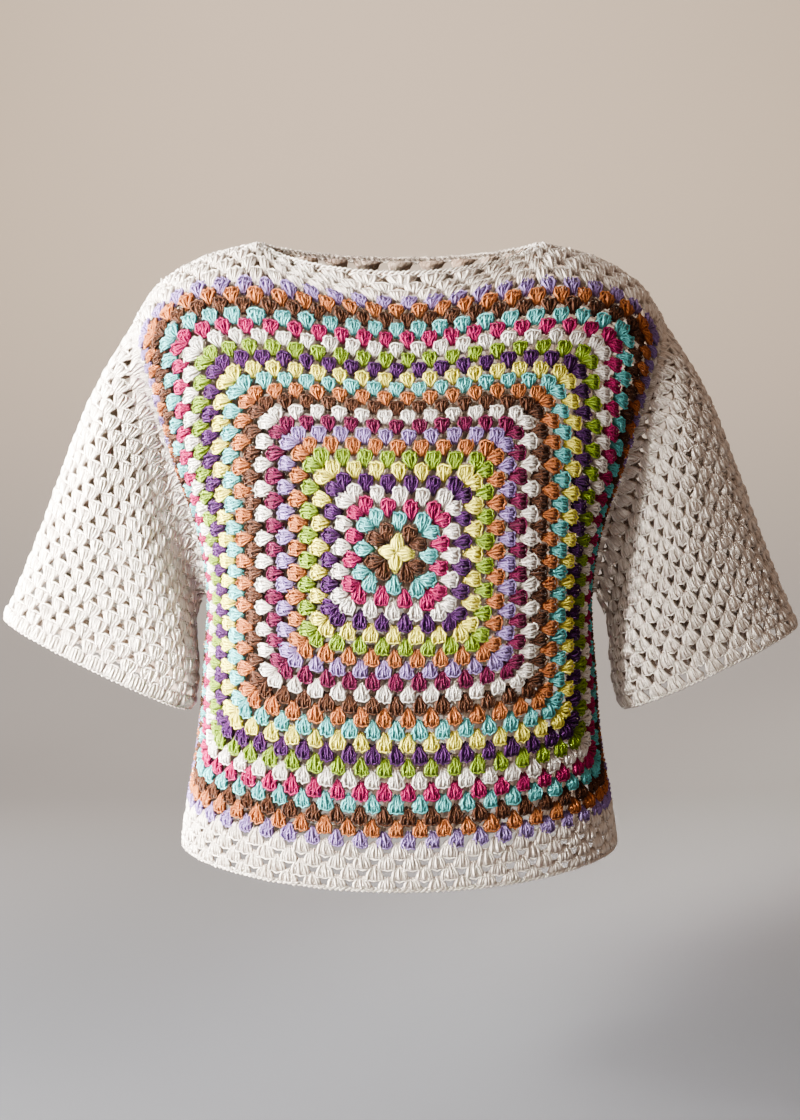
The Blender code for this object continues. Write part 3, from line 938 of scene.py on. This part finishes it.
def add_pad(strands, chance, work):
    """The closed pad that lies under a cluster, with a low rim and a flat top."""
    outline = np.array(work.pad + tuple((-across, along) for across, along in work.pad[::-1]))
    outline += chance.normal(0.0, work.wander, outline.shape)
    middle = outline.mean(axis=0)
    inner = middle + (outline - middle) * PAD_TOP
    count = len(outline)
    # Painted shade: the rim and underside are painted darker than the top
    rings = ((outline, PAD_LOW, work.groove * RIM_LIGHT), (inner, work.pad_high, work.groove))
    for ring, height, light in rings:
        strands.points += [np.array([*place, height]) for place in ring]
        strands.shades += [light] * count
    faces = [range(count)[::-1], range(count, 2 * count)]
    for corner in range(count):
        after = (corner + 1) % count
        faces.append((corner, after, count + after, count + corner))
    for face in faces:
        strands.faces.append(tuple(face))
        strands.maps += [tuple(strands.points[corner][:2] / ROW) for corner in face]


def add_loop(strands, chance, loop):
    """One loop of the edging."""
    line = np.array([(s.along, s.spread, s.height) for s in loop])
    line += chance.normal(0.0, LOOP_WANDER, line.shape)
    strands.add(line, *look_of(loop), LOOP_GROOVE)


def variants(name, seed, add, works=tuple(WORKS.values())):
    """Hand-worked variants of each kind of work, for Geometry Nodes to pick from."""
    collection = bpy.data.collections.new(name)
    chance = np.random.default_rng(seed)
    for kind, work in enumerate(works):
        for variant in range(VARIANTS):
            strands = Strands()
            add(strands, chance, work)
            strands.make(f"{name}_{kind}_{variant}", collection)
    return collection


def added(name, data):
    """A new object in the scene."""
    made = bpy.data.objects.new(name, data)
    bpy.context.scene.collection.objects.link(made)
    return made


def forget(collection):
    for thing in list(collection.objects):
        bpy.data.objects.remove(thing)
    bpy.data.collections.remove(collection)


def cluster_tree(materials):
    """Geometry Nodes: one cluster on each point of a plan, in that point's yarn."""
    tree = bpy.data.node_groups.new("crochet_clusters", "GeometryNodeTree")
    sockets = {
        "Geometry": "Geometry",
        "Clusters": "Collection",
        "Size Variation": "Float",
        "Turn Variation": "Float",
        "Seed": "Int",
    }
    for name, kind in sockets.items():
        tree.interface.new_socket(name, in_out="INPUT", socket_type=f"NodeSocket{kind}")
    tree.interface.new_socket("Geometry", in_out="OUTPUT", socket_type="NodeSocketGeometry")
    graph = Graph(tree)
    given = tree.nodes.new("NodeGroupInput").outputs
    plan, source, size_variation, turn_variation, seed = (
        Wire(graph, given[name]) for name in sockets
    )

    def stored(name, kind):
        return graph.add("GeometryNodeInputNamedAttribute", {"data_type": kind}, {"Name": name})

    def chance(offset):
        inputs = {2: -1.0, 3: 1.0, "Seed": seed + offset}
        return graph.add("FunctionNodeRandomValue", {"data_type": "FLOAT"}, inputs, 1)

    turn = stored("turn", "FLOAT") + chance(1) * turn_variation
    euler = graph.add("ShaderNodeCombineXYZ", inputs={2: turn})
    size = {0: stored("size", "FLOAT_VECTOR"), "Scale": 1.0 + chance(2) * size_variation}
    variant = {4: 0, 5: VARIANTS - 1, "Seed": seed}
    variant = graph.add("FunctionNodeRandomValue", {"data_type": "INT"}, variant, 2)
    clusters = {"Collection": source, "Separate Children": True, "Reset Children": True}
    placing = {
        "Points": plan,
        "Instance": graph.add("GeometryNodeCollectionInfo", inputs=clusters),
        "Pick Instance": True,
        "Instance Index": variant + stored("kind", "INT") * VARIANTS,
        "Rotation": graph.add("FunctionNodeEulerToRotation", inputs={0: euler}),
        "Scale": graph.add("ShaderNodeVectorMath", {"operation": "SCALE"}, size),
    }
    placed = graph.add("GeometryNodeInstanceOnPoints", inputs=placing)
    toned = graph.add(
        "GeometryNodeStoreNamedAttribute",
        {"data_type": "FLOAT", "domain": "INSTANCE"},
        {"Geometry": placed, "Name": "tone", "Value": chance(3)},
    )
    shown = graph.add("GeometryNodeRealizeInstances", inputs={"Geometry": toned})
    yarn = stored("yarn", "INT")
    same = {"data_type": "INT", "operation": "EQUAL"}
    for index, material in enumerate(materials):
        chosen = graph.add("FunctionNodeCompare", same, {2: yarn, 3: index})
        dyed = {"Geometry": shown, "Selection": chosen, "Material": material}
        shown = graph.add("GeometryNodeSetMaterial", inputs=dyed)
    tree.links.new(shown.socket, tree.nodes.new("NodeGroupOutput").inputs[0])
    return tree


def keep_used_materials(mesh):
    """Drop the slots that no face uses, such as the empty one that the templates bring."""
    slots = np.empty(len(mesh.polygons), np.int32)
    mesh.polygons.foreach_get("material_index", slots)
    used, slots = np.unique(slots, return_inverse=True)
    kept = [mesh.materials[index] for index in used]
    mesh.materials.clear()
    for material in kept:
        mesh.materials.append(material)
    mesh.polygons.foreach_set("material_index", slots.astype(np.int32))


# A stitch is a plain one of the rows, unless it says otherwise
Stitch = namedtuple(
    "Stitch", "x y turn wide tall yarn kind", defaults=(0.0, 1.0, 1.0, "cream", "row")
)


def worked(name, node, surface, stitches, shapes, slot="cream_cotton"):
    """A finished piece: stitches laid out on the plan by Geometry Nodes, then draped."""
    if not stitches:
        raise RuntimeError(f"{name} has no stitches to work")
    settings = bpy.context.scene.crochet_yarns
    tree = bpy.data.node_groups.get("crochet_clusters") or cluster_tree(palette(settings))
    mesh = bpy.data.meshes.new(f"{name}_plan")
    mesh.from_pydata([(s.x, s.y, 0.0) for s in stitches], [], [])
    columns = (
        ("turn", "FLOAT", "value", [s.turn for s in stitches]),
        ("size", "FLOAT_VECTOR", "vector", [(s.wide, s.tall, 1.0) for s in stitches]),
        ("yarn", "INT", "value", [YARNS.index(s.yarn) for s in stitches]),
        ("kind", "INT", "value", [KINDS.index(s.kind) for s in stitches]),
        ("id", "INT", "value", [round(s.x * 10) * ID_STEP + round(s.y * 10) for s in stitches]),
    )
    for label, kind, key, values in columns:
        attribute = mesh.attributes.new(label, kind, "POINT")
        attribute.data.foreach_set(key, np.array(values).ravel())
    carrier = added(f"{name}_plan", mesh)
    modifier = carrier.modifiers.new("Clusters", "NODES")
    modifier.node_group = tree
    values = {
        "Clusters": shapes,
        "Size Variation": settings.size_variation,
        "Turn Variation": settings.turn_variation,
        "Seed": STITCH_SEED,
    }
    for item in tree.interface.items_tree:
        if item.name in values:
            modifier[item.identifier] = values[item.name]
    depsgraph = bpy.context.evaluated_depsgraph_get()
    made = bpy.data.meshes.new_from_object(carrier.evaluated_get(depsgraph))
    bpy.data.objects.remove(carrier)

    flat = np.empty(len(made.vertices) * 3, np.float32)
    made.vertices.foreach_get("co", flat)
    places = surface.lift(flat.reshape(-1, 3).astype(float)) * MM
    made.vertices.foreach_set("co", places.astype(np.float32).ravel())
    keep_used_materials(made)
    made.name = name
    made.update()
    made.shade_smooth()
    piece = added(name, made)
    finish(piece, slot, node)
    return piece


def finish(piece, slot, *nodes):
    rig.ride(piece, "root")
    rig.replaces(piece, *nodes)
    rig.slot(piece, slot)


def square_round(number):
    """The stitches of one round of the square, number 1 being the middle."""
    star = number == 1
    pull = np.interp(number, CORNER_ROUNDS, CORNER_PULL)
    lean = math.radians(np.interp(number, LEAN_ROUNDS, LEAN_DEGREES))
    top = (ROW * (number - 0.5), ROUND * number + ROUND_OUT)
    side = (ROUND * number - ROUND_IN, ROW * number - CORNER_IN)
    facings = (math.pi / 2, 0.0, -math.pi / 2, math.pi)
    for facing, (reach, half) in zip(facings, (top, side, top, side)):
        out = np.array([math.cos(facing), math.sin(facing)])
        across = np.array([out[1], -out[0]])
        pitch = 2 * half / number
        for index in range(number):
            place = index - (number - 1) / 2
            nearness = max(0.0, 1 - (number / 2 - 0.5 - abs(place)) / CORNER_REACH)
            if star:
                nearness, reach = 0.0, STAR_REACH
            x, y = (out * reach + across * place * pitch) * (1 - (1 - pull) * nearness**2)
            turn = facing - np.sign(place) * math.radians(CORNER_TURN) * nearness**2
            yield Stitch(
                x * math.cos(lean) + y * math.sin(lean) + SQUARE_SHIFT,
                y * math.cos(lean) - x * math.sin(lean),
                turn - (math.pi / 2 + lean),
                wide=1.0 if star else pitch / (2 * ROUND),
                yarn=ROUND_YARNS[number - 1],
                kind="star" if star else "square",
            )


def straight_row(bottom, room, offset, turn=0.0):
    """One row of clusters right across a panel, from bottom up; offset ones sit between."""
    count = ROW_CLUSTERS - offset
    pitch = 2 * HALF_WIDTH / (ROW_CLUSTERS - 0.5)
    middles = [(index - (count - 1) / 2) * pitch for index in range(count)]
    places = [(x, x, pitch / (2 * ROUND)) for x in middles]
    if offset:
        places += [(end * (HALF_WIDTH - END_IN), HALF_WIDTH, END_WIDE) for end in (-1, 1)]
    for x, measured_at, wide in places:
        height = min(room(measured_at), 1.0)
        if height >= LEAST_ROW:
            yield Stitch(x, (bottom + height / 2) * ROW, turn, wide, height)


def rows_to_top(first):
    """Plain rows from the row numbered first up to the neckline and shoulders."""
    for row in range(first, int(TOP_ROW + SHOULDER_ROWS) + 1):
        yield from straight_row(row, lambda x: float(top_row(x) - row), row % 2)


def sleeve_stitches(lengths, upward):
    """Rounds up a sleeve from the cuff, the last of each column fitted to the armhole."""
    for number in range(int(lengths.max() / SLEEVE_ROW) + 1):
        for index in range(SLEEVE_CLUSTERS):
            x = (index + 0.5 * (number % 2)) * 2 * ROUND
            left = length_at(lengths, x) - number * SLEEVE_ROW
            if left < LEAST_ROW * SLEEVE_ROW:
                continue
            height = left if left < (1 + LEAST_ROW) * SLEEVE_ROW else SLEEVE_ROW
            y = number * SLEEVE_ROW + height / 2
            kind = ("up" if number else "upright") if upward else "down"
            turn = 0.0 if upward else math.pi
            yield Stitch(x, y, turn, tall=height / ROW, kind=kind)


def armhole_pads(lengths):
    """Pads side by side along an armhole, under the last rounds and the seam."""
    for x in np.arange(0.0, SLEEVE_CLUSTERS * 2 * ROUND, ROUND):
        low, high = length_at(lengths, np.array([x - ROUND / 2, x + ROUND / 2]))
        turn = math.atan2(high - low, ROUND)
        wide = math.hypot(high - low, ROUND) / (2 * ROUND) * JOIN_PAD_WIDE
        y = (low + high) / 2 - JOIN_PAD_IN
        yield Stitch(x, y, turn, wide, JOIN_PAD_TALL, kind="upright")


def colour(name, description, default):
    """A setting that is a colour."""
    return bpy.props.FloatVectorProperty(
        name=name, description=description, subtype="COLOR", default=default, min=0.0, max=1.0
    )


def measure(name, description, default, least, most, **kind):
    """A setting that is a number, with its unit or subtype."""
    return bpy.props.FloatProperty(
        name=name, description=description, default=default, min=least, max=most, **kind
    )


class YarnColours(bpy.types.PropertyGroup):
    """Colours and feel of the cotton."""

    cream: colour("Cream", "Back, sleeves and plain rows", (0.920, 0.860, 0.790))
    pale_yellow: colour("Pale yellow", "Middle star and two rounds", (0.940, 0.890, 0.095))
    brown: colour("Brown", "Three rounds of the square", (0.068, 0.022, 0.008))
    aqua: colour("Aqua", "Three rounds of the square", (0.118, 0.575, 0.610))
    pink: colour("Pink", "Two rounds of the square", (0.355, 0.000, 0.092))
    white: colour("White", "Three rounds of the square", (0.980, 0.965, 0.935))
    purple: colour("Purple", "Two rounds of the square", (0.050, 0.006, 0.081))
    green: colour("Green", "Two rounds of the square", (0.218, 0.360, 0.008))
    orange: colour("Orange", "Three rounds of the square", (0.440, 0.134, 0.032))
    lilac: colour("Lilac", "Two rounds of the square", (0.290, 0.198, 0.520))
    magenta: colour("Magenta", "One round of the square", (0.120, 0.000, 0.038))
    # Painted shade: the share of each yarn's colour that is left between and behind strands, where shade falls
    painted_shade_tint: colour(
        "Groove tint", "What is left of a colour between and behind strands", (0.27, 0.19, 0.14)
    )
    ply_relief: measure(
        "Ply relief", "How far the plies stand out of a strand", 0.0005, 0.0, 0.002, unit="LENGTH"
    )
    size_variation: measure(
        "Size variation", "How uneven the clusters are in size", 0.05, 0.0, 0.3, subtype="FACTOR"
    )
    turn_variation: measure(
        "Turn variation", "How far clusters lean by hand", HAND_TURN, 0.0, 0.5, unit="ROTATION"
    )


class StageSettings(bpy.types.PropertyGroup):
    """Camera and backdrop."""

    camera_distance: measure(
        "Camera distance", "From the middle of the top to the camera", 2.0, 0.5, 10.0, unit="LENGTH"
    )
    camera_height: measure(
        "Camera height", "How far up the camera looks from", CAMERA_RISE, -1.5, 1.5, unit="ROTATION"
    )
    focal_length: measure(
        "Focal length", "Lens of the camera, in millimetres", 74.75, 10.0, 300.0, unit="CAMERA"
    )
    floor_drop: measure(
        "Floor drop", "How far the floor lies below the shoulders", 0.86, 0.55, 3.0, unit="LENGTH"
    )
    wall_colour: colour("Wall", "Upper part of the backdrop", (0.575, 0.475, 0.378))
    cove_colour: colour("Cove", "Where the floor turns up into the wall", (0.262, 0.252, 0.25))
    # Painted shade: the floor is painted darkest where the lamps light it most
    floor_colour: colour(
        "Floor", "Floor under the top, where the light is strongest", (0.066, 0.07, 0.082)
    )


def square_stitches(first, last):
    """The square's rounds from first to last."""
    return [stitch for number in range(first, last + 1) for stitch in square_round(number)]


def yoke_stitches():
    """The plain rows above the square, and the short ends beside it."""
    stitches = list(rows_to_top(ROUNDS))
    for end in (1, -1):
        width = HALF_WIDTH - (ROUND * ROUNDS + SIDE_REACH + end * SQUARE_SHIFT)
        height = max(width / ROW, LEAST_END)
        x = end * (HALF_WIDTH - height * ROW / 2)
        for index in range(ROUNDS + 1):
            y = (index - ROUNDS / 2) * 2 * ROW
            stitches.append(Stitch(x, y, -end * math.pi / 2, tall=height))
    return stitches


def hem_stitches():
    """The plain rows below the square, worked down from it."""
    stitches = []
    for row in range(ROUNDS, math.ceil(-HEM_ROW)):
        height = min(-HEM_ROW - row, 1.0)
        stitches += straight_row(-row - height, lambda x: height, row % 2, turn=math.pi)
    return stitches


def back_stitches():
    """The plain back, worked up from the hem."""
    first = math.floor(HEM_ROW) + 1
    lowest = straight_row(HEM_ROW, lambda x: first - HEM_ROW, (first + 1) % 2)
    return [*lowest, *rows_to_top(first)]


class CROCHET_OT_square(bpy.types.Operator):
    """Work the front's granny square, round by round"""

    bl_idname = "crochet.square"
    bl_label = "Granny square"

    def execute(self, context):
        surface = panel_surface(FRONT)
        clusters = variants("square_cluster", SQUARE_SEED, add_cluster)
        first = 1
        for name, last in SQUARE_PIECES:
            stitches = square_stitches(first, last)
            worked(f"front_square_{name}", "front", surface, stitches, clusters, "coloured_cotton")
            first = last + 1
        forget(clusters)
        return {"FINISHED"}


class CROCHET_OT_rows(bpy.types.Operator):
    """Work the front's plain rows and the whole back"""

    bl_idname = "crochet.rows"
    bl_label = "Plain rows"

    def execute(self, context):
        clusters = variants("row_cluster", ROW_SEED, add_cluster)
        plain_back = back_stitches()
        half = len(plain_back) // 2
        surface = panel_surface(FRONT)
        worked("front_yoke_rows", "front", surface, yoke_stitches(), clusters)
        worked("front_hem_rows", "front", surface, hem_stitches(), clusters)
        surface = panel_surface(BACK)
        worked("back_lower_rows", "back", surface, plain_back[:half], clusters)
        worked("back_upper_rows", "back", surface, plain_back[half:], clusters)
        forget(clusters)
        return {"FINISHED"}


class CROCHET_OT_sleeves(bpy.types.Operator):
    """Work both sleeves in rounds"""

    bl_idname = "crochet.sleeves"
    bl_label = "Sleeves"

    def execute(self, context):
        clusters = variants("sleeve_cluster", SLEEVE_SEED, add_cluster)
        for sleeve in SLEEVES:
            surface, lengths = sleeve_surface(sleeve)
            stitches = list(sleeve_stitches(lengths, sleeve.side < 0))
            node = f"sleeve_{sleeve.name}"
            worked(f"{node}_rounds", node, surface, stitches, clusters)
        forget(clusters)
        return {"FINISHED"}


class CROCHET_OT_ground(bpy.types.Operator):
    """Lay the pads of yarn under the clusters, as the cloth of each panel"""

    bl_idname = "crochet.ground"
    bl_label = "Ground of the cloth"

    def execute(self, context):
        pads = variants("cluster_pad", PAD_SEED, add_pad)
        front = square_stitches(1, ROUNDS) + yoke_stitches() + hem_stitches()
        panels = [
            ("front", panel_surface(FRONT), front, "coloured_cotton"),
            ("back", panel_surface(BACK), back_stitches(), "cream_cotton"),
        ]
        for sleeve in SLEEVES:
            surface, lengths = sleeve_surface(sleeve)
            stitches = [*sleeve_stitches(lengths, sleeve.side < 0), *armhole_pads(lengths)]
            panels.append((f"sleeve_{sleeve.name}", surface, stitches, "cream_cotton"))
        for node, surface, stitches, slot in panels:
            piece = worked(f"{node}_ground", node, surface, stitches, pads, slot)
            strands = [
                other
                for other in context.scene.objects
                if other.type == "MESH" and other.name.startswith(f"{node}_") and other != piece
            ]
            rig.sheet(piece, held="draped", with_pieces=strands, **CUTS[node])
        forget(pads)
        return {"FINISHED"}


def edge_ring(surface, x, y, way):
    """An edge on a plan, with its directions out past it, up or down, and off the cloth."""
    flat = np.stack([x, y, np.zeros_like(x)], axis=1)
    steps = ((0.0, 0.0, 0.0), (0.0, 2.0 * way, 0.0), (0.0, 0.0, 1.0))
    on, past, high = (surface.lift(flat + step) for step in steps)
    return on, unit(past - on), high - on


def panel_edge(end):
    """The ring along the neck, where end is 1, or the hem, where it is -1."""
    rings = []
    for side in (FRONT, BACK):
        surface = panel_surface(side)
        chosen = np.abs(surface.across / HALF_WIDTH) <= (NECK_ACROSS if end > 0 else 1.0)
        x = surface.across[chosen]
        y = (top_row(x) if end > 0 else np.full_like(x, HEM_ROW)) * ROW
        rings.append(edge_ring(surface, x, y, end))
    return [np.concatenate([first[:-1], second[:-1]]) for first, second in zip(*rings)]


def sleeve_edges(sleeve):
    """The rings of a cuff and of its armhole."""
    surface, lengths = sleeve_surface(sleeve)
    x = surface.across[SPARE : -SPARE - 1]
    cuff = edge_ring(surface, x, np.zeros_like(x), -1)
    return cuff, edge_ring(surface, x, length_at(lengths, x), 1)


def plain_loop(x, y, turn=0.0):
    """A loop of an edging or a seam, whose variants are of the first kind alone."""
    return Stitch(x, y, turn, kind=KINDS[0])


def seam_stitches():
    """Loops that join the front to the back along the shoulders and down the sides."""
    stitches = []
    for end in (-1, 1):
        for x in np.arange(NECK_ACROSS * HALF_WIDTH, HALF_WIDTH, LOOP_PITCH):
            low, high = (top_row(x + step) * ROW for step in (-1, 1))
            turn = end * math.atan2(high - low, 2.0)
            stitches.append(plain_loop(end * x, (low + high) / 2 - SEAM_IN, turn))
        for y in np.arange(HEM_ROW * ROW, UNDERARM_ROW * ROW, LOOP_PITCH):
            stitches.append(plain_loop(end * (HALF_WIDTH - SIDE_IN), y, end * math.pi / 2))
    return stitches


class CROCHET_OT_edgings(bpy.types.Operator):
    """Work the edgings of the neck, the hem and the cuffs, and the loops that join the panels"""

    bl_idname = "crochet.edgings"
    bl_label = "Edgings"

    def execute(self, context):
        loops = variants("edging_loop", LOOP_SEED, add_loop, [LOOP])
        edges = [
            ("neck_edging_loops", "neck_edging", panel_edge(1)),
            ("hem_edging_loops", "hem_edging", panel_edge(-1)),
        ]
        for sleeve in SLEEVES:
            cuff, armhole = sleeve_edges(sleeve)
            edges += [
                (f"cuff_edging_{sleeve.name}_loops", f"cuff_edging_{sleeve.name}", cuff),
                (f"sleeve_{sleeve.name}_seam", f"sleeve_{sleeve.name}", armhole),
            ]
        for name, node, ring in edges:
            surface, length = edge_surface(*ring)
            count = round(length / LOOP_PITCH)
            stitches = [plain_loop(index * (length / count), 0.0) for index in range(count)]
            worked(name, node, surface, stitches, loops)
        worked("front_seams", "front", panel_surface(FRONT), seam_stitches(), loops)
        forget(loops)
        return {"FINISHED"}


def aimed(name, data, place, aim):
    """An object of the stage, put in its place and turned along its aim."""
    holder = added(name, data)
    holder.location = place
    holder.rotation_euler = aim.to_track_quat("-Z", "Y").to_euler()
    return holder


class CROCHET_OT_stage(bpy.types.Operator):
    """Set up the camera, the backdrop and the lights"""

    bl_idname = "crochet.stage"
    bl_label = "Stage"

    def execute(self, context):
        stage = context.scene.crochet_stage
        self.make_camera(context, stage)
        self.make_backdrop(stage)
        self.make_lights(context)
        return {"FINISHED"}

    def make_camera(self, context, stage):
        lift = stage.camera_height
        away = Vector((0.0, -math.cos(lift), math.sin(lift))) * stage.camera_distance
        data = bpy.data.cameras.new("camera")
        data.lens = stage.focal_length
        context.scene.camera = aimed("camera", data, Vector(CAMERA_TARGET) + away, -away)

    def make_backdrop(self, stage):
        floor, cove = -stage.floor_drop, BACKDROP_END - COVE_RADIUS
        line = [(BACKDROP_START, floor)]
        for step in range(COVE_STEPS + 1):
            turn = step / COVE_STEPS * math.pi / 2
            up = COVE_RADIUS * (1 - math.cos(turn))
            line.append((cove + COVE_RADIUS * math.sin(turn), floor + up))
        line.append((BACKDROP_END, BACKDROP_TOP))
        points = [(side * BACKDROP_HALF, y, z) for y, z in line for side in (-1, 1)]
        faces = [(2 * k, 2 * k + 1, 2 * k + 3, 2 * k + 2) for k in range(len(line) - 1)]
        mesh = bpy.data.meshes.new("backdrop")
        mesh.from_pydata(points, [], faces)
        mesh.shade_smooth()
        material, graph, shader, place = new_material("backdrop_paper")
        _, back, up = graph.parts(place)
        # Grows along the floor, round the cove and up the wall. Painted shade: the paper is painted darkest on the
        # floor under the top, where the light is strongest, and lighter round the cove and up the wall
        travel = back + up
        near = graph.blended(abs(travel - FLOOR_DARKEST), *FLOOR_BLEND)
        rise = graph.blended(travel, *WALL_BLEND)
        low = graph.mixed(near, (*stage.floor_colour, 1.0), (*stage.cove_colour, 1.0))
        paper = graph.mixed(rise, low, (*stage.wall_colour, 1.0))
        graph.plug(shader, {"Base Color": paper, "Roughness": BACKDROP_ROUGH})
        mesh.materials.append(material)
        backdrop = added("backdrop", mesh)
        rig.stage(backdrop)

    def make_lights(self, context):
        world = bpy.data.worlds.new("studio")
        world.use_nodes = True
        background = world.node_tree.nodes["Background"]
        background.inputs["Color"].default_value = (*ROOM_LIGHT, 1.0)
        background.inputs["Strength"].default_value = ROOM_STRENGTH
        context.scene.world = world
        for lamp in LAMPS:
            light = bpy.data.lights.new(lamp.name, "AREA")
            light.size = lamp.size
            light.energy = lamp.power
            light.spread = math.radians(lamp.spread)
            light.color = lamp.colour
            aimed(lamp.name, light, lamp.place, Vector(lamp.target) - Vector(lamp.place))


class CROCHET_PT_sidebar(bpy.types.Panel):
    """Lists the steps that build the top"""

    bl_label = "Crocheted cotton top"
    bl_space_type = "VIEW_3D"
    bl_region_type = "UI"
    bl_category = "Crochet"

    def draw(self, context):
        for operator in OPERATORS:
            self.layout.operator(operator.bl_idname)
        for settings in (context.scene.crochet_yarns, context.scene.crochet_stage):
            for name in settings.__annotations__:
                self.layout.prop(settings, name)


OPERATORS = (
    CROCHET_OT_square,
    CROCHET_OT_rows,
    CROCHET_OT_sleeves,
    CROCHET_OT_ground,
    CROCHET_OT_edgings,
    CROCHET_OT_stage,
)
CLASSES = (YarnColours, StageSettings, *OPERATORS, CROCHET_PT_sidebar)


def register():
    for each in CLASSES:
        bpy.utils.register_class(each)
    bpy.types.Scene.crochet_yarns = bpy.props.PointerProperty(type=YarnColours)
    bpy.types.Scene.crochet_stage = bpy.props.PointerProperty(type=StageSettings)


def unregister():
    del bpy.types.Scene.crochet_stage
    del bpy.types.Scene.crochet_yarns
    for each in reversed(CLASSES):
        bpy.utils.unregister_class(each)


def main():
    register()
    bpy.ops.crochet.square()
    bpy.ops.crochet.rows()
    bpy.ops.crochet.sleeves()
    bpy.ops.crochet.ground()
    bpy.ops.crochet.edgings()
    bpy.ops.crochet.stage()
    boxes = {"cad": CAD_BOX, "visual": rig.bounds()}
    sizes = {name: [list(corner) for corner in box] for name, box in boxes.items()}
    with open("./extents.json", "w") as file:
        json.dump(sizes, file)


if __name__ == "__main__":
    main()
